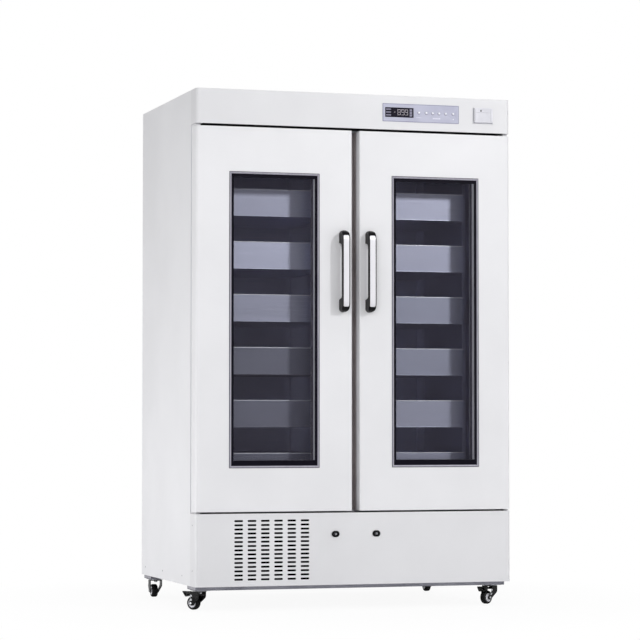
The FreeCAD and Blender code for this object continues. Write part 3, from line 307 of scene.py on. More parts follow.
# The base panel is folded like the header. Ninety punched slots, drawn a little taller than in
# the solid, let air in to the condenser, and two round holes take the lock barrels.
LOUVRE = (-0.49, -0.15, 0.100, 0.342)
SLOT_HIGH = 0.0064
SLOT_PITCH = 0.01515
SLOT_STRETCH = 1.14
panel = solid("base_panel")
x0, x1, z0, z1 = LOUVRE
punched = [v for v in panel.verts if x0 < v.co.x < x1 and z0 < v.co.z < z1]
lowest = min(v.co.z for v in punched) + SLOT_HIGH / 2
for vertex in punched:
    middle = lowest + SLOT_PITCH * round((vertex.co.z - lowest) / SLOT_PITCH)
    vertex.co.z = middle + (vertex.co.z - middle) * SLOT_STRETCH
add("base_cover", panel, cover_paint, "cabinet", ["base_panel"], 0.0003)

# Black strips on the header's lower return and on the base panel's upper return paint the shade in
# the gaps above and below the doors.
SHADE_STRIPS = ((-0.584, 0.584, 0.3520, 0.3532), (-0.584, 0.584, 1.7706, 1.7720))
SHADE_STRIP_NEAR = FRONT + 0.003
SHADE_STRIP_FAR = FRONT + 0.068


def block(bm, area, near, far):
    """A box from its outline on the front and its near and far Y."""
    x0, x1, z0, z1 = area
    middle = Vector((x0 + x1, near + far, z0 + z1)) / 2
    size = Vector((x1 - x0, far - near, z1 - z0))
    place = Matrix.Translation(middle) @ Matrix.Diagonal((*size, 1))
    return bmesh.ops.create_cube(bm, size=1, matrix=place)["verts"]


# This black paints shade: in the gaps by the doors, on the door edges and round the printer flap.
black_shade_paint = finish("black painted shade", "0d0c10", 0.9, Specular_IOR_Level=0.1)
mottled(black_shade_paint, grain(black_shade_paint, 300.0), "09080c", "131217")
bumpy(black_shade_paint, grain(black_shade_paint, 900.0), 0.0002)
gap_shades = bmesh.new()
for area in SHADE_STRIPS:
    block(gap_shades, area, SHADE_STRIP_NEAR, SHADE_STRIP_FAR)
add("gap_shade_strips", gap_shades, black_shade_paint, "cabinet", ease=0.0002)

# Each door is a folded steel pan filled with a foamed plastic core, which the window goes
# through. The window has two panes with a dark foil round the space between them, and the
# outer pane has a black border printed on it.
SIDES = ((-1, "left"), (1, "right"))
DOOR = (0.0145, WIDTH / 2, 0.3585, 1.763)
DOOR_BACK = FRONT + 0.068
WINDOW = (0.1405, 0.4845, 0.517, 1.599)
BEZEL_SHADOW_WIDE = 0.0015
BEZEL_SHADOW_STEPS = [(0, 0.0009), (BEZEL_SHADOW_WIDE, 0.0), (0, -0.0009)]
MITRE_GAP = 0.0005
BEZEL_STEPS = [(0, 0.0006), (0.0023, 0.0026), (0.0008, 0.0), (0.0034, -0.0024), (0, -0.0008)]
PANE_EDGE = 0.0055
PANE_FACE = FRONT + 0.00198
BORDER_WIDE = 0.012
BORDER_TOP = 1.5785
BORDER_STEPS = [(0, 0.0002), (BORDER_WIDE, 0.0), (0, -0.0002)]
TUNNEL = (0.158, 0.467, 0.545, 1.5815)
FOIL_EDGE = 0.0001
FOIL_FACE = FRONT + 0.0455
FOIL_STEPS = [(0, 0.0215), (0.0004, 0.0), (0, -0.0215)]
BEAD_FACE = FRONT + 0.0514
BEAD_STEPS = [(0, 0.0120), (0.004, 0.002), (0.008, -0.0138)]
GASKET_EDGE = 0.007
GASKET_STEPS = [
    (0, 0.0015),
    (0.0025, 0.0003),
    (0.0005, 0.0025),
    (0.0015, 0.0010),
    (0.011, 0.0),
    (0.0015, -0.0010),
    (0.0005, -0.0025),
    (0.0025, -0.0003),
    (0, -0.0015),
]


def drawn_in(area, by):
    """A rectangle made smaller by the same amount on all four sides."""
    x0, x1, z0, z1 = area
    return x0 + by, x1 - by, z0 + by, z1 - by


def mirror_x(bm, side):
    """Moves a right-hand shape to the left-hand door when side is -1."""
    if side < 0:
        bmesh.ops.scale(bm, vec=(-1, 1, 1), verts=bm.verts)
        bmesh.ops.reverse_faces(bm, faces=bm.faces)
    return bm


def cut(bm, point, normal, **cleared):
    """Cuts a mesh along a plane, and gives the edges of the cut."""
    everything = bm.verts[:] + bm.edges[:] + bm.faces[:]
    made = bmesh.ops.bisect_plane(
        bm, geom=everything, plane_co=point, plane_no=normal, **cleared
    )
    return [e for e in made["geom_cut"] if isinstance(e, bmesh.types.BMEdge)]


def join(whole, bm):
    """Adds one mesh to another and lets it go."""
    mesh = bpy.data.meshes.new("joined")
    bm.to_mesh(mesh)
    bm.free()
    whole.from_mesh(mesh)
    bpy.data.meshes.remove(mesh)


def mitred(whole, area):
    """Cuts a frame into four bars with a hairline gap at each mitre."""
    bars = bmesh.new()
    x0, x1, z0, z1 = area
    corners = [Vector((x, 0, z)) for x, z in ((x0, z0), (x1, z0), (x1, z1), (x0, z1))]
    centre = sum(corners, Vector()) / 4
    for corner, after in zip(corners, corners[1:] + corners[:1]):
        bar = whole.copy()
        inward = (centre - (corner + after) / 2).normalized()
        planes = [(centre, -inward)]
        for end, other in ((corner, after), (after, corner)):
            mitre = ((other - end).normalized() - inward).normalized()
            planes.append((end + mitre * MITRE_GAP / 2, mitre))
        for point, normal in planes:
            bmesh.ops.contextual_create(bar, geom=cut(bar, point, normal, clear_inner=True))
        join(bars, bar)
    whole.free()
    bmesh.ops.recalc_face_normals(bars, faces=bars.faces)
    return bars


core_plastic = finish("door core plastic", "d9dae2", 0.45)
mottled(core_plastic, grain(core_plastic, 10.0), "d3d4dd", "dedfe6")
bumpy(core_plastic, grain(core_plastic, 1500.0, detail=1.0), 0.00003)
bezel_metal = finish("satin anodised aluminium", "a5a3af", 0.55, 0.3, Specular_IOR_Level=0.2)
mottled(bezel_metal, grain(bezel_metal, 1.0, (200, 200, 12)), "9e9ca8", "adabb6")
uneven(bezel_metal, grain(bezel_metal, 80.0), 0.56, 0.66)
# A dark grey ring round each bezel's outer edge paints the shadow line there.
bezel_shadow_paint = finish("painted bezel shadow", "3d3c43", 0.7, Specular_IOR_Level=0.1)
mottled(bezel_shadow_paint, grain(bezel_shadow_paint, 60.0), "37363d", "434249")
foil = finish("dark spacer foil", "3a3943", 0.6, Specular_IOR_Level=0.2)
mottled(foil, grain(foil, 30.0), "34333d", "403f49")
enamel = finish("black enamel", "110f19", 0.5, Specular_IOR_Level=0.03)
mottled(enamel, grain(enamel, 30.0), "0f0d17", "13111c")
# The pane's grey is partly the glass's own tint and partly a painted veil of reflection over the
# compartment behind.
pane = finish("tinted pane", "444250", 0.04, Alpha=0.14, Specular_IOR_Level=0.25)
mottled(pane, grain(pane, 5.0), "403e4b", "494756")
rubber = finish("white vinyl gasket", "d6d7dd", 0.55)
mottled(rubber, grain(rubber, 40.0), "d0d1d8", "dcdde2")
bumpy(rubber, grain(rubber, 600.0), 0.00004)
for side, name in SIDES:
    body = f"door_{name}"
    shell, core = f"door_shell_{name}", f"door_core_{name}"
    stand_in(f"door_pan_{name}", shell, paint, body, 0.0007)
    stand_in(f"door_inside_{name}", core, core_plastic, body, 0.0006)

    # The dark ring round the bezel is a painted shadow line.
    seal = mirror_x(surround(WINDOW, FRONT, BEZEL_SHADOW_STEPS), side)
    add(f"bezel_shadow_ring_{name}", seal, bezel_shadow_paint, body)
    inner = drawn_in(WINDOW, BEZEL_SHADOW_WIDE)
    bezel = mirror_x(mitred(surround(inner, FRONT, BEZEL_STEPS), inner), side)
    add(f"bezel_{name}", bezel, bezel_metal, body, [f"window_bezel_{name}"], 0.0003)

    edge = drawn_in(WINDOW, PANE_EDGE)
    border = surround(edge, PANE_FACE, BORDER_STEPS)
    for vertex in border.verts:
        if abs(vertex.co.z - edge[2] - BORDER_WIDE) < 0.001:
            vertex.co.z = TUNNEL[2]
        if abs(vertex.co.z - edge[3] + BORDER_WIDE) < 0.001:
            vertex.co.z = BORDER_TOP
    add(f"pane_border_{name}", mirror_x(border, side), enamel, body)
    lining = mirror_x(surround(drawn_in(TUNNEL, FOIL_EDGE), FOIL_FACE, FOIL_STEPS), side)
    add(f"spacer_{name}", lining, foil, body)
    dress(pane, f"window_glass_{name}")
    bead = mirror_x(surround(edge, BEAD_FACE, BEAD_STEPS, facing=1), side)
    add(f"glazing_bead_{name}", bead, core_plastic, body, ease=0.0004)

    rim = drawn_in(DOOR, GASKET_EDGE)
    gasket = mirror_x(surround(rim, DOOR_BACK, GASKET_STEPS, facing=1), side)
    add(f"gasket_{name}", gasket, rubber, body, [f"door_gasket_{name}"], 0.0006)

# Brown grey strips on the back half of each door's inner edge and on the post behind paint the
# shade deep in the gap between the doors. Two black lines on each door edge paint its darkest
# shade.
POST_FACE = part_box("door_frame")[0].y
POST_SHADE_STRIP = (-0.0205, 0.0205, 0.3600, 1.7620)
EDGE_SHADE_STRIP = (DOOR[0] - 0.0004, DOOR[0] + 0.0003, 0.3600, 1.7615)
EDGE_SHADE_LINE = (DOOR[0] - 0.0003, DOOR[0] + 0.0003, 0.3600, 1.7615)
SHADE_LINE_STARTS = (FRONT + 0.0405, FRONT + 0.0655)
SHADE_LINE_DEEP = 0.0025
# The brown grey strips paint the shade deep in the gap between the doors.
gap_shade_plastic = finish("brown grey gap shade", "b4acad", 0.6, Specular_IOR_Level=0.2)
mottled(gap_shade_plastic, grain(gap_shade_plastic, 20.0), "ada5a6", "bbb3b4")
bumpy(gap_shade_plastic, grain(gap_shade_plastic, 900.0, detail=1.0), 0.00003)
strip = bmesh.new()
block(strip, POST_SHADE_STRIP, POST_FACE - 0.0012, POST_FACE + 0.0002)
add("post_shade_strip", strip, gap_shade_plastic, "cabinet", ease=0.0003)
for side, name in SIDES:
    body = f"door_{name}"
    profile = bmesh.new()
    block(profile, EDGE_SHADE_STRIP, SHADE_LINE_STARTS[0] + SHADE_LINE_DEEP, SHADE_LINE_STARTS[1])
    mirror_x(profile, side)
    add(f"edge_shade_strip_{name}", profile, gap_shade_plastic, body, ease=0.0002)
    # The black lines paint the darkest shade on each door edge.
    shade_lines = bmesh.new()
    for start in SHADE_LINE_STARTS:
        block(shade_lines, EDGE_SHADE_LINE, start, start + SHADE_LINE_DEEP)
    add(f"edge_shade_lines_{name}", mirror_x(shade_lines, side), black_shade_paint, body)

# The handles are bows moulded in charcoal plastic, screwed to the doors from behind. A thin
# pale silver strip with rounded corners is glued into a groove along each grip.
HANDLE_X = 0.051
GRIP_LOW, GRIP_HIGH = 1.089, 1.391
GRIP_REACH = 0.048
BEND = 0.036
INSERT_HALF = 0.0107
INSERT_LOW, INSERT_HIGH = 1.1083, 1.3717
INSERT_ROUND = 0.0048
INSERT_PARTS = 45
INSERT_PROUD = 0.0002
INSERT_THICK = 0.0009


def bow_front(z):
    """Y of the handle's outer face at a height: a straight grip between two round bends."""
    past = max(GRIP_LOW + BEND - z, z - GRIP_HIGH + BEND, 0)
    return FRONT - GRIP_REACH + BEND - math.sqrt(BEND**2 - past**2)


handle_plastic = finish("charcoal plastic", "0d0c0f", 0.34, Specular_IOR_Level=0.12)
mottled(handle_plastic, grain(handle_plastic, 20.0), "0a090c", "111013")
bumpy(handle_plastic, grain(handle_plastic, 1200.0, detail=1.0), 0.00002)
strip_metal = finish("pale silver strip", "dfdee3", 0.4, 0.1)
mottled(strip_metal, grain(strip_metal, 1.0, (900, 90, 6)), "dcdbe0", "e2e1e6")
uneven(strip_metal, grain(strip_metal, 200.0), 0.36, 0.44)
for side, name in SIDES:
    body = f"door_{name}"
    bow = f"door_handle_{name}"
    stand_in(f"handle_{name}", bow, handle_plastic, body, 0.0007)
    strip, face = plate((-INSERT_HALF, INSERT_HALF, INSERT_LOW, INSERT_HIGH), 0)
    bmesh.ops.bevel(
        strip,
        geom=face.verts[:],
        offset=INSERT_ROUND,
        segments=5,
        profile=0.5,
        affect="VERTICES",
        material=-1,
    )
    for i in range(1, INSERT_PARTS):
        height = INSERT_LOW + (INSERT_HIGH - INSERT_LOW) * i / INSERT_PARTS
        cut(strip, (0, 0, height), (0, 0, 1))
    for vertex in strip.verts:
        vertex.co.y = bow_front(vertex.co.z) + INSERT_PROUD
    bmesh.ops.translate(strip, verts=strip.verts, vec=(side * HANDLE_X, 0, 0))
    bmesh.ops.recalc_face_normals(strip, faces=strip.faces)
    bmesh.ops.solidify(strip, geom=strip.faces[:], thickness=INSERT_THICK)
    bmesh.ops.recalc_face_normals(strip, faces=strip.faces)
    add(f"handle_strip_{name}", strip, strip_metal, body, ease=0.0002)

# Each door turns on two pins that stand on cranked steel plates, screwed to the door frame
# through a cover's notch. They are coated white like the cabinet.
stand_in("hinge_plates", "hinge_brackets", paint, "cabinet", 0.0006)

# The keypad is a printed film with a darker rim, on a plate with the electronics behind it. A
# dark window covers the display, where thin lit bars make the figures. A small white lamp sits
# at the right, under the last key.
near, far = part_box("control_panel")
PANEL_FACE = near.y
KEYPAD = (near.x, far.x, near.z, far.z)
FILM_INK = 0.00005
RIM_EDGE = 0.0002
RIM_STEPS = [(0, FILM_INK), (0.0024, 0.0), (0, -FILM_INK)]
KEYPAD_BARS = ((0.238, 0.258, 1.8195, 1.8215), (0.303, 0.333, 1.8165, 1.8215))
DISPLAY = (0.1152, 0.2268, 1.8192, 1.8553)
DISPLAY_FACE = FRONT - 0.0011
LIT_THICK = 0.0001
MINUS_WIDE = 0.0075
FIGURE_WIDE = 0.0112
FIGURE_LOW, FIGURE_HIGH = 1.8278, 1.8486
FIGURES = (("8", 0.1640), ("9", 0.1793), ("9", 0.1935))
SEGMENTS = {"-": "g", "8": "abcdefg", "9": "abcdfg"}
BAR = 0.0013
BAR_GAP = BAR * 0.6
BAR_TRIM = 0.0002
LEFT_MARKS = [(0.1185, 0.1380, low, low + 0.0048) for low in (1.8245, 1.8350, 1.8458)]
RIGHT_MARKS = [(0.2115, 0.2215, low, low + 0.0082) for low in (1.8235, 1.8332, 1.8429)]
SIGNAL_PLACE = (0.384, PANEL_FACE + 0.0012, 1.8180)
SIGNAL_RADIUS = 0.0026


def lit_figure(bm, figure, left, wide):
    """A seven-bar figure on the display."""
    right = left + wide
    middle = (FIGURE_LOW + FIGURE_HIGH) / 2
    upper = (middle + BAR_GAP, FIGURE_HIGH - BAR_GAP)
    lower = (FIGURE_LOW + BAR_GAP, middle - BAR_GAP)
    bars = {
        "a": (left, right, FIGURE_HIGH - BAR, FIGURE_HIGH),
        "b": (right - BAR, right, *upper),
        "c": (right - BAR, right, *lower),
        "d": (left, right, FIGURE_LOW, FIGURE_LOW + BAR),
        "e": (left, left + BAR, *lower),
        "f": (left, left + BAR, *upper),
        "g": (left + BAR_GAP, right - BAR_GAP, middle - BAR / 2, middle + BAR / 2),
    }
    for key in SEGMENTS[figure]:
        block(bm, drawn_in(bars[key], BAR_TRIM), DISPLAY_FACE - LIT_THICK, DISPLAY_FACE)


film = finish("keypad film", "b9bacd", 0.5, Specular_IOR_Level=0.2)
mottled(film, grain(film, 14.0), "b4b5c9", "bebfd2")
bumpy(film, grain(film, 1500.0, detail=1.0), 0.00002)
stand_in("keypad", "control_panel", film, "cabinet", 0.0004)

film_edge = finish("darker film edge", "9394ad", 0.5, Specular_IOR_Level=0.2)
mottled(film_edge, grain(film_edge, 14.0), "8d8ea8", "999ab2")
rim = surround(drawn_in(KEYPAD, RIM_EDGE), PANEL_FACE, RIM_STEPS)
add("keypad_edge", rim, film_edge, "cabinet")

display_glass = finish("display window", "130f1e", 0.3, Specular_IOR_Level=0.08)
mottled(display_glass, grain(display_glass, 40.0), "0f0b1a", "181424")
window = bmesh.new()
block(window, DISPLAY, DISPLAY_FACE, FRONT)
add("display_window", window, display_glass, "cabinet", ease=0.0003)

glow = colour("c8c0c8")
lit = finish("lit segments", "bcb6be", 0.5, Emission_Color=glow, Emission_Strength=0.5)
mottled(lit, grain(lit, 300.0), "aaa4ac", "beb8c0")
figures = bmesh.new()
lit_figure(figures, "-", 0.1485, MINUS_WIDE)
for figure, left in FIGURES:
    lit_figure(figures, figure, left, FIGURE_WIDE)
add("display_figures", figures, lit, "cabinet")

dim = finish("unlit marks", "6d6a84", 0.5)
mottled(dim, grain(dim, 300.0), "64617b", "76738c")
marks = bmesh.new()
for area in LEFT_MARKS + RIGHT_MARKS:
    block(marks, area, DISPLAY_FACE - LIT_THICK, DISPLAY_FACE)
add("display_marks", marks, dim, "cabinet")

pale = finish("pale print", "d2d2e2", 0.5)
mottled(pale, grain(pale, 200.0), "cbcbdc", "d9d9e8")
bars = bmesh.new()
for area in KEYPAD_BARS:
    block(bars, area, PANEL_FACE - FILM_INK, PANEL_FACE)
add("keypad_bars", bars, pale, "cabinet")

lens = finish("signal lamp lens", "eeeef6", 0.2)
mottled(lens, grain(lens, 300.0), "e8e8f2", "f4f4fa")
signal = bmesh.new()
place = Matrix.Translation(SIGNAL_PLACE)
bmesh.ops.create_uvsphere(
    signal, u_segments=24, v_segments=12, radius=SIGNAL_RADIUS, matrix=place
)
add("signal_lamp", signal, lens, "cabinet")

# Six white keys with low domes push through the film. Each is one moulding with a round foot and a
# stem, and a dark crescent on the film below its dome paints the dome's shadow.
KEYS = {"mute": 0.248, "lamp": 0.2775, "set": 0.3025, "up": 0.328, "down": 0.354, "power": 0.384}
KEY_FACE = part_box("button_mute")[0].y
KEY_HEIGHT = 1.8388
KEY_RADIUS = 0.0040
DOME_DEEP = 0.0016
FOOT_DEEP = 0.0004
STEM_RADIUS = 0.0025
STEM_DEEP = 0.0064
SHADOW_CRESCENT = [(0.0045, -0.00006), (0.0068, -0.00006)]
SHADOW_CRESCENT_CUT = (-0.0004, 0, -0.0008)
SHADOW_CRESCENT_FACING = (0.53, 0, 0.85)


def spun(profile, steps=48):
    """A round piece about the Y axis from radius and Y pairs, the same on both its ends."""
    bm = bmesh.new()
    points = profile + [(radius, -y) for radius, y in reversed(profile)]
    ring = [bm.verts.new((radius, y, 0)) for radius, y in points]
    for a, b in zip(ring, ring[1:] + ring[:1]):
        bm.edges.new((a, b))
    bmesh.ops.spin(
        bm,
        geom=bm.verts[:] + bm.edges[:],
        cent=(0, 0, 0),
        axis=(0, 1, 0),
        angle=math.tau,
        steps=steps,
        use_merge=True,
    )
    bmesh.ops.recalc_face_normals(bm, faces=bm.faces)
    return bm


key_plastic = finish("key plastic", "ececf4", 0.25, Specular_IOR_Level=0.6)
mottled(key_plastic, grain(key_plastic, 300.0), "e6e6f0", "f1f1f8")
# The dark crescents are painted shadows of the key domes.
key_shadow_paint = finish("painted key shadow", "84849c", 0.5)
mottled(key_shadow_paint, grain(key_shadow_paint, 200.0), "7c7c94", "8c8ca3")
key_shadows = bmesh.new()
dome_foot = KEY_FACE + DOME_DEEP
for name, x in KEYS.items():
    key = bmesh.new()
    round_cap = Matrix.Diagonal((KEY_RADIUS, DOME_DEEP, KEY_RADIUS, 1))
    place = Matrix.Translation((x, dome_foot, KEY_HEIGHT)) @ round_cap
    bmesh.ops.create_uvsphere(key, u_segments=32, v_segments=16, radius=1, matrix=place)
    for vertex in key.verts:
        vertex.co.y = min(vertex.co.y, dome_foot)
    for start, radius, deep in (
        (dome_foot, KEY_RADIUS, FOOT_DEEP),
        (dome_foot + FOOT_DEEP, STEM_RADIUS, STEM_DEEP),
    ):
        place = Matrix.Translation((x, start + deep / 2, KEY_HEIGHT)) @ FACING["front"]
        short_bar(key, radius, deep, place, segments=32)
    add(f"key_{name}", key, key_plastic, f"button_{name}", [f"button_{name}"])
    crescent_shadow = spun(SHADOW_CRESCENT, steps=32)
    cut(crescent_shadow, SHADOW_CRESCENT_CUT, SHADOW_CRESCENT_FACING, clear_outer=True)
    bmesh.ops.holes_fill(crescent_shadow, edges=[e for e in crescent_shadow.edges if e.is_boundary])
    bmesh.ops.translate(crescent_shadow, verts=crescent_shadow.verts, vec=(x, PANEL_FACE, KEY_HEIGHT))
    join(key_shadows, crescent_shadow)
add("key_shadows", key_shadows, key_shadow_paint, "cabinet")

# The chart printer sits in a moulded tray behind a flap that hinges at its foot, with a roll of
# white paper and its spindle inside. Painted shadow lines mark the flap: black in its finger notch
# and along its left edge, grey along its foot and its inner edges.
near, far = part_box("printer_flap")
FLAP_FACE = near.y
FLAP_LINES = (
    (0.4735, 0.5325, 1.8478, 1.8484),
    (0.4720, 0.4726, 1.8140, 1.8600),
    (0.5334, 0.5340, 1.8140, 1.8600),
)
NOTCH = (0.4922, 0.4966, 1.8515, 1.8585)
FLAP_EDGE_SHADOW = (near.x - 0.0008, near.x + 0.0012, near.z, far.z)
FLAP_FOOT_SHADOW = (near.x, far.x, near.z + 0.0003, near.z + 0.0026)
LINE_RISE = 0.0001
LINE_SUNK = 0.0003
GAP_SUNK = 0.0005
printer_plastic = finish("printer plastic", "dadae2", 0.45, Specular_IOR_Level=0.3)
mottled(printer_plastic, grain(printer_plastic, 30.0), "d6d6de", "dfdfe6")
bumpy(printer_plastic, grain(printer_plastic, 1500.0, detail=1.0), 0.00003)
stand_in("printer_tray", "printer_housing", printer_plastic, "cabinet", 0.0004)
stand_in("printer_door", "printer_flap", printer_plastic, "printer_flap", 0.0004)

shadow_line_grey = finish("grey shadow line", "8f8f9c", 0.6)
mottled(shadow_line_grey, grain(shadow_line_grey, 200.0), "868693", "9a9aa6")
lines = bmesh.new()
for area in FLAP_LINES:
    block(lines, area, FLAP_FACE - LINE_RISE, FLAP_FACE + LINE_SUNK)
add("flap_lines", lines, shadow_line_grey, "printer_flap")
# Black in the finger notch and along the flap's left edge, and grey along its foot, are painted
# shadow.
notch = bmesh.new()
block(notch, NOTCH, FLAP_FACE - LINE_RISE, FLAP_FACE + LINE_SUNK)
block(notch, FLAP_EDGE_SHADOW, FLAP_FACE - LINE_RISE, FLAP_FACE + GAP_SUNK)
add("flap_notch_shadows", notch, black_shade_paint, "printer_flap")
foot_shadow = bmesh.new()
block(foot_shadow, FLAP_FOOT_SHADOW, FLAP_FACE - LINE_RISE, FLAP_FACE + GAP_SUNK)
add("flap_foot_shadow", foot_shadow, shadow_line_grey, "printer_flap")

# Two cam locks: a barrel with an oval black flange, and a nickel plated plug with a keyway in
# its face, a thin black ring round that, and the cam on its inner end.
LOCK_HEIGHT = 0.274
CAP_THICK = 0.0003
CAP_PROFILE = [(0.0040, -CAP_THICK), (0.0060, -CAP_THICK)]
black_plastic = finish("black plastic", "060609", 0.38, Specular_IOR_Level=0.15)
mottled(black_plastic, grain(black_plastic, 60.0), "040407", "0b0b0f")
bumpy(black_plastic, grain(black_plastic, 900.0), 0.00003)
stand_in("lock_bezels", "lock_barrels", black_plastic, "cabinet", 0.0005)
nickel = finish("nickel plate", "b4b4ba", 0.3, 0.7)
mottled(nickel, grain(nickel, 90.0), "aaaab1", "bebec4")
uneven(nickel, grain(nickel, 160.0), 0.26, 0.38)
for name in ("left", "right"):
    plug = f"lock_plug_{name}"
    stand_in(f"lock_core_{name}", plug, nickel, plug, 0.0002)
    near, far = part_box(plug)
    cap = spun(CAP_PROFILE)
    middle = ((near.x + far.x) / 2, near.y - CAP_THICK, LOCK_HEIGHT)
    bmesh.ops.translate(cap, verts=cap.verts, vec=middle)
    add(f"lock_cap_{name}", cap, black_plastic, plug)

# Twelve open drawers are folded from thin stainless sheet, brushed across, with their rims turned
# over into polished hems and a narrow bead along the foot of each front. The hems' paler steel is
# partly their polish and partly a painted highlight along each rim. Some drawers get a darker steel
# that paints the shade on them, and one a paler steel that paints light.
DRAWER_NEAR, DRAWER_FAR = 0.066, 0.462
DRAWER_FRONT = FRONT + 0.100
DRAWER_LOW = 0.470
DRAWER_HIGH = 0.101
DRAWER_PITCH = 0.195
HEM_HIGH = 0.0032
FRONT_BEADS = ((DRAWER_HIGH - HEM_HIGH, DRAWER_HIGH, 0.0003), (0.0, 0.0024, 0.0002))
# dull and middle are darker steels that paint shade on some drawers; bright is a paler steel that
# paints light on one.
PAINTED_LIGHT_LOOKS = {
    "dull": ("7d7f8e", 0.5, 0.8),
    "middle": ("abafc3", 0.4, 1.0),
    "bright": ("d8dcf4", 0.38, 1.0),
}
PAINTED_LIGHT_BY_LEVEL = {
    "left": ("dull", "dull", "dull", "usual", "bright", "usual"),
    "right": ("usual", "usual", "middle", "middle", "usual", "usual"),
}
steels_by_painted_light = {"usual": steel}
for batch, (code, roughness, metallic) in PAINTED_LIGHT_LOOKS.items():
    made = finish(f"{batch} stainless", code, roughness, metallic)
    shade = spread(made, grain(made, 1.0, (3, 260, 900)), (0.35, 0.65), (0.9, 1.08))
    tint = node(made, "VectorMath", {0: colour(code)[:3], "Scale": shade}, operation="SCALE")
    feed(made, "Base Color", tint.outputs["Vector"])
    uneven(made, grain(made, 1.0, (4, 300, 1100)), roughness - 0.05, roughness + 0.06)
    steels_by_painted_light[batch] = made
# The hem's paler steel is partly its polish and partly a painted highlight along each rim.
hem_steel_and_highlight = finish("polished hem, painted highlight", "e6e9f6", 0.4, 0.5)
mottled(hem_steel_and_highlight, grain(hem_steel_and_highlight, 1.0, (3, 260, 900)), "dfe2f1", "eceffa")
for side, name in SIDES:
    x0, x1 = sorted((side * DRAWER_NEAR, side * DRAWER_FAR))
    for level, batch in enumerate(PAINTED_LIGHT_BY_LEVEL[name]):
        drawer = f"drawer_{name}_{level + 1}"
        tray = solid(drawer)
        foot = DRAWER_LOW + DRAWER_PITCH * level
        for low, high, lean in FRONT_BEADS:
            area = (x0, x1, foot + low, foot + high)
            bead = block(tray, area, DRAWER_FRONT - 0.0015, DRAWER_FRONT + 0.0002)
            edge = [v for v in bead if v.co.z > foot + low + 0.001 and v.co.y < DRAWER_FRONT]
            bmesh.ops.translate(tray, verts=edge, vec=(0, lean, 0))
        finished = f"tray_{name}_{level + 1}"
        piece = add(finished, tray, steels_by_painted_light[batch], drawer, [drawer], 0.0005)
        piece.data.materials.append(hem_steel_and_highlight)
        hem_low = foot + DRAWER_HIGH - HEM_HIGH - 0.0002
        for polygon in piece.data.polygons:
            if polygon.center.z > hem_low and polygon.center.y < DRAWER_FRONT + 0.0001:
                polygon.material_index = 1

# The drawers run on angles that are bent from the same stainless sheet. The angles hang on
# upright posts in the compartment.
stand_in("rack", "drawer_racks", steel, "cabinet", 0.0003)

# The evaporator hangs high on the back wall behind a sheet duct of the same stainless, with
# slots for the cold air.
stand_in("air_duct", "evaporator", steel, "cabinet", 0.0004)

# The compressor is a pressed steel can in black paint. It stands on rubber bushes in the
# machine space.
machine_black = finish("black machine paint", "101012", 0.35)
mottled(machine_black, grain(machine_black, 40.0), "0b0b0d", "19191c")
bumpy(machine_black, grain(machine_black, 500.0), 0.00005)
stand_in("compressor_can", "compressor", machine_black, "cabinet", 0.001)

# The condenser is a block of thin black coated fins behind the louvre, with a steel shroud, and a
# fan that draws room air through it. A black sheet in front of it paints the shade behind the
# louvre's slots.
LOUVRE_SHADE_AREA = (-0.478, -0.166, 0.100, 0.340)
fin_metal = finish("black coated fins", "101012", 0.6, Specular_IOR_Level=0.2)
mottled(fin_metal, grain(fin_metal, 1.0, (900, 60, 30)), "0c0c0e", "161618")
stand_in("condenser_block", "condenser", fin_metal, "cabinet")
# The black sheet is painted shade behind the slots.
louvre_shade_black = finish("black painted shade behind louvre", "08080a", 0.95, Specular_IOR_Level=0.05)
mottled(louvre_shade_black, grain(louvre_shade_black, 500.0), "060608", "0c0c0e")
bumpy(louvre_shade_black, grain(louvre_shade_black, 900.0), 0.0002)
shade_sheet = bmesh.new()
block(shade_sheet, LOUVRE_SHADE_AREA, FRONT + 0.0030, FRONT + 0.0060)
add("louvre_shade_sheet", shade_sheet, louvre_shade_black, "cabinet")
stand_in("fan_rotor", "condenser_fan", machine_black, "condenser_fan", 0.0004)

# The mains inlet is a black moulding, set into the sheet at the back. Its three contacts are
# flat blades.
stand_in("inlet", "power_inlet", black_plastic, "cabinet", 0.0004)

# Two beams of bent sheet under the body carry the caster plates. The beams have a dull grey
# zinc coat and plastic plugs in their ends. The plates, races and kingpins are zinc plated.
PLATE_TOP = 0.0729
PLUG_ENDS = ((-0.6, -0.592), (0.592, 0.6))
PLUG_LOW, PLUG_HIGH = 0.0752, 0.0858
BEAMS = ((FRONT + 0.040, 0.115), (FRONT + 0.730, 0.108))
BEAM_WALL = 0.0022
grey_paint = finish("grey zinc coat", "94949e", 0.42, 0.8)
mottled(grey_paint, grain(grey_paint, 12.0), "8c8c96", "9e9ea8")
bumpy(grey_paint, grain(grey_paint, 700.0), 0.00003)
beams = stand_in("base_beams", "base_frame", grey_paint, "cabinet", 0.0006)
beams.data.materials.append(zinc)
for polygon in beams.data.polygons:
    if polygon.center.z < PLATE_TOP:
        polygon.material_index = 1
plug_plastic = finish("grey plug plastic", "a3a2aa", 0.5)
mottled(plug_plastic, grain(plug_plastic, 60.0), "9b9aa2", "acabb3")
plugs = bmesh.new()
for x0, x1 in PLUG_ENDS:
    for start, deep in BEAMS:
        area = (x0, x1, PLUG_LOW, PLUG_HIGH)
        block(plugs, area, start + BEAM_WALL, start + deep - BEAM_WALL)
add("beam_plugs", plugs, plug_plastic, "cabinet", ease=0.0008)

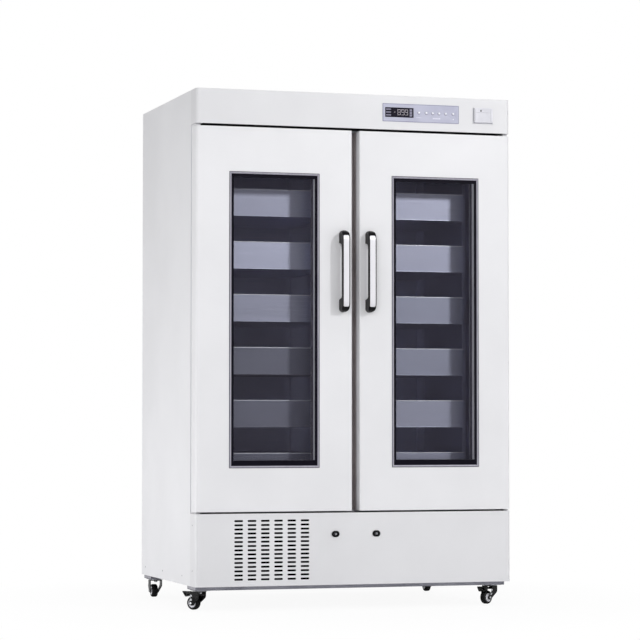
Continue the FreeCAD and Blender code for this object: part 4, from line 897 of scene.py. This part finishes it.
# Four swivel casters: pressed forks in gloss black with zinc nuts, a white plastic wheel with a
# black tyre, and on the front pair a brake pedal pressed from sheet. A bright zinc bar on each side
# of the front forks paints the highlight on their legs.
CASTERS = {
    "front_left": (-1, 0.093, 129),
    "front_right": (1, 0.093, 211),
    "rear_left": (-1, 0.784, 90),
    "rear_right": (1, 0.784, 90),
}
CASTER_X = 0.567
AXLE_TRAIL = 0.029
AXLE_HEIGHT = 0.025
HUB_PROFILE = [
    (0.0031, -0.0124),
    (0.0078, -0.0124),
    (0.0090, -0.0098),
    (0.0132, -0.0098),
    (0.0152, -0.0114),
    (0.0162, -0.0114),
]
TYRE_PROFILE = [
    (0.0162, -0.0112),
    (0.0205, -0.0114),
    (0.0226, -0.0105),
    (0.0241, -0.0088),
    (0.0250, -0.0060),
]
NUT_OUT = 0.0195
NUT_RADIUS = 0.0048
NUT_THICK = 0.0028
HIGHLIGHT_BAR = (0.0195, 0.0280, 0.0340, 0.0560)
HIGHLIGHT_BAR_OUT = 0.0244
HIGHLIGHT_BAR_THICK = 0.0010
HIGHLIGHT_BAR_LEAN = (0.0030, 0.0028)
gloss_black = finish("gloss black enamel", "050507", 0.16, Specular_IOR_Level=0.25)
mottled(gloss_black, grain(gloss_black, 50.0), "030304", "09090c")
uneven(gloss_black, grain(gloss_black, 30.0), 0.12, 0.24)
tyre_rubber = finish("tyre rubber", "0b0b0d", 0.62, Specular_IOR_Level=0.2)
mottled(tyre_rubber, grain(tyre_rubber, 80.0), "070708", "121214")
bumpy(tyre_rubber, grain(tyre_rubber, 700.0), 0.00005)
hub_plastic = finish("hub plastic", "e4e4ea", 0.35)
mottled(hub_plastic, grain(hub_plastic, 60.0), "dcdce4", "ebebf0")
for name, (side, behind, heading) in CASTERS.items():
    fork = f"caster_fork_{name}"
    wheel = f"caster_wheel_{name}"
    braked = name.startswith("front")
    stand_in(f"fork_{name}", fork, gloss_black, fork, 0.0006)
    turn = Matrix.Translation((side * CASTER_X, FRONT + behind, 0))
    turn @= Matrix.Rotation(math.radians(heading), 4, "Z")
    place = turn @ Matrix.Translation((AXLE_TRAIL, 0, AXLE_HEIGHT))
    tyre = spun(TYRE_PROFILE)
    bmesh.ops.transform(tyre, matrix=place, verts=tyre.verts)
    add(f"tyre_{name}", tyre, tyre_rubber, wheel, [wheel])
    hub = spun(HUB_PROFILE)
    bmesh.ops.transform(hub, matrix=place, verts=hub.verts)
    add(f"hub_{name}", hub, hub_plastic, wheel)
    fittings = bmesh.new()
    for out in (-1, 1):
        nut = Matrix.Translation((AXLE_TRAIL, out * NUT_OUT, AXLE_HEIGHT)) @ FACING["front"]
        short_bar(fittings, NUT_RADIUS, NUT_THICK, nut, segments=6)
        # The bright zinc bars are a painted highlight on the fork legs.
        if braked:
            face = out * HIGHLIGHT_BAR_OUT
            link = block(fittings, HIGHLIGHT_BAR, face - HIGHLIGHT_BAR_THICK / 2, face + HIGHLIGHT_BAR_THICK / 2)
            foot = [v for v in link if v.co.z < (HIGHLIGHT_BAR[2] + HIGHLIGHT_BAR[3]) / 2]
            lean = (HIGHLIGHT_BAR_LEAN[0], -out * HIGHLIGHT_BAR_LEAN[1], 0)
            bmesh.ops.translate(fittings, verts=foot, vec=lean)
    bmesh.ops.transform(fittings, matrix=turn, verts=fittings.verts)
    add(f"fittings_{name}", fittings, zinc, fork, ease=0.0003)
    if braked:
        pedal = f"brake_pedal_{name}"
        stamped = stand_in(f"pedal_{name}", pedal, gloss_black, pedal, 0.0005)
        stamped.modifiers["eased edges"].use_clamp_overlap = True

# The studio: a pale floor that fades to white, soft light from all round, one lamp from the
# upper right, which throws the handles' shadows to the left, and two weak fills.
FADE_START, FADE_END = 0.7, 1.6
SOFT_LIGHT = 0.60
MIRRORED_LIGHT = 0.45
KEY_PLACE = (4.55, -6.92, 5.20)
KEY_AIM = (0.0, -0.4, 1.0)
floor_bm = bmesh.new()
bmesh.ops.create_grid(floor_bm, x_segments=1, y_segments=1, size=30)
floor_mesh = bpy.data.meshes.new("floor")
floor_bm.to_mesh(floor_mesh)
floor_bm.free()
floor = bpy.data.objects.new("floor", floor_mesh)
bpy.context.scene.collection.objects.link(floor)
floor_finish = finish("studio floor", "f4f4f4", 0.9, Specular_IOR_Level=0.0)
place = node(floor_finish, "TexCoord")
away = node(floor_finish, "VectorMath", {0: place.outputs["Object"]}, operation="LENGTH")
fade = spread(floor_finish, away.outputs["Value"], (FADE_START, FADE_END), (0.93, 1.0))
seen = node(floor_finish, "LightPath").outputs["Is Camera Ray"]
share = node(floor_finish, "Math", {0: fade, 1: seen}, operation="MULTIPLY")
white = node(floor_finish, "Emission", {"Color": (1, 1, 1, 1), "Strength": 1.0})
parts = floor_finish.node_tree.nodes
mixed = {
    0: share.outputs["Value"],
    1: parts["Principled BSDF"].outputs["BSDF"],
    2: white.outputs["Emission"],
}
blend = node(floor_finish, "MixShader", mixed)
surface = parts["Material Output"].inputs["Surface"]
floor_finish.node_tree.links.new(blend.outputs["Shader"], surface)
floor_mesh.materials.append(floor_finish)

world = bpy.data.worlds.new("studio")
bpy.context.scene.world = world
world.use_nodes = True
background = world.node_tree.nodes["Background"]
background.inputs["Color"].default_value = (1, 1, 1, 1)
path = node(world, "LightPath")
around = spread(world, path.outputs["Is Glossy Ray"], (0, 1), (SOFT_LIGHT, MIRRORED_LIGHT))
strength = spread(world, path.outputs["Is Camera Ray"], (0, 1), (around, 1.0))
world.node_tree.links.new(strength, background.inputs["Strength"])


def lamp(name, place, target, size, power, sheen_only=False):
    """A square soft lamp that points at a target, or a bright card that only shows as sheen."""
    light = bpy.data.lights.new(name, "AREA")
    light.size = size
    light.energy = power
    holder = bpy.data.objects.new(name, light)
    holder.location = place
    holder.rotation_euler = (Vector(target) - Vector(place)).to_track_quat("-Z", "Y").to_euler()
    holder.visible_diffuse = not sheen_only
    holder.visible_camera = False
    bpy.context.scene.collection.objects.link(holder)


lamp("key_lamp", KEY_PLACE, KEY_AIM, 0.6, 188.0)
lamp("sheen_lamp", KEY_PLACE, KEY_AIM, 1.0, 825.0, sheen_only=True)
lamp("front_fill_lamp", (-4.0, -8.2, 3.8), (0.0, -0.4, 1.2), 2.5, 145.0)
lamp("low_fill_lamp", (-2.4, 0.1, 0.15), (-0.6, 0.0, 0.35), 0.9, 17.0)

camera = bpy.data.objects.new("camera", bpy.data.cameras.new("camera"))
camera.data.lens = 140.98
camera.data.sensor_width = 36
camera.location = (-2.879, -9.189, 0.690)
camera.rotation_euler = (math.radians(92.298), 0, math.radians(-17.31))
bpy.context.scene.collection.objects.link(camera)
bpy.context.scene.camera = camera
bpy.context.scene.view_settings.view_transform = "Standard"
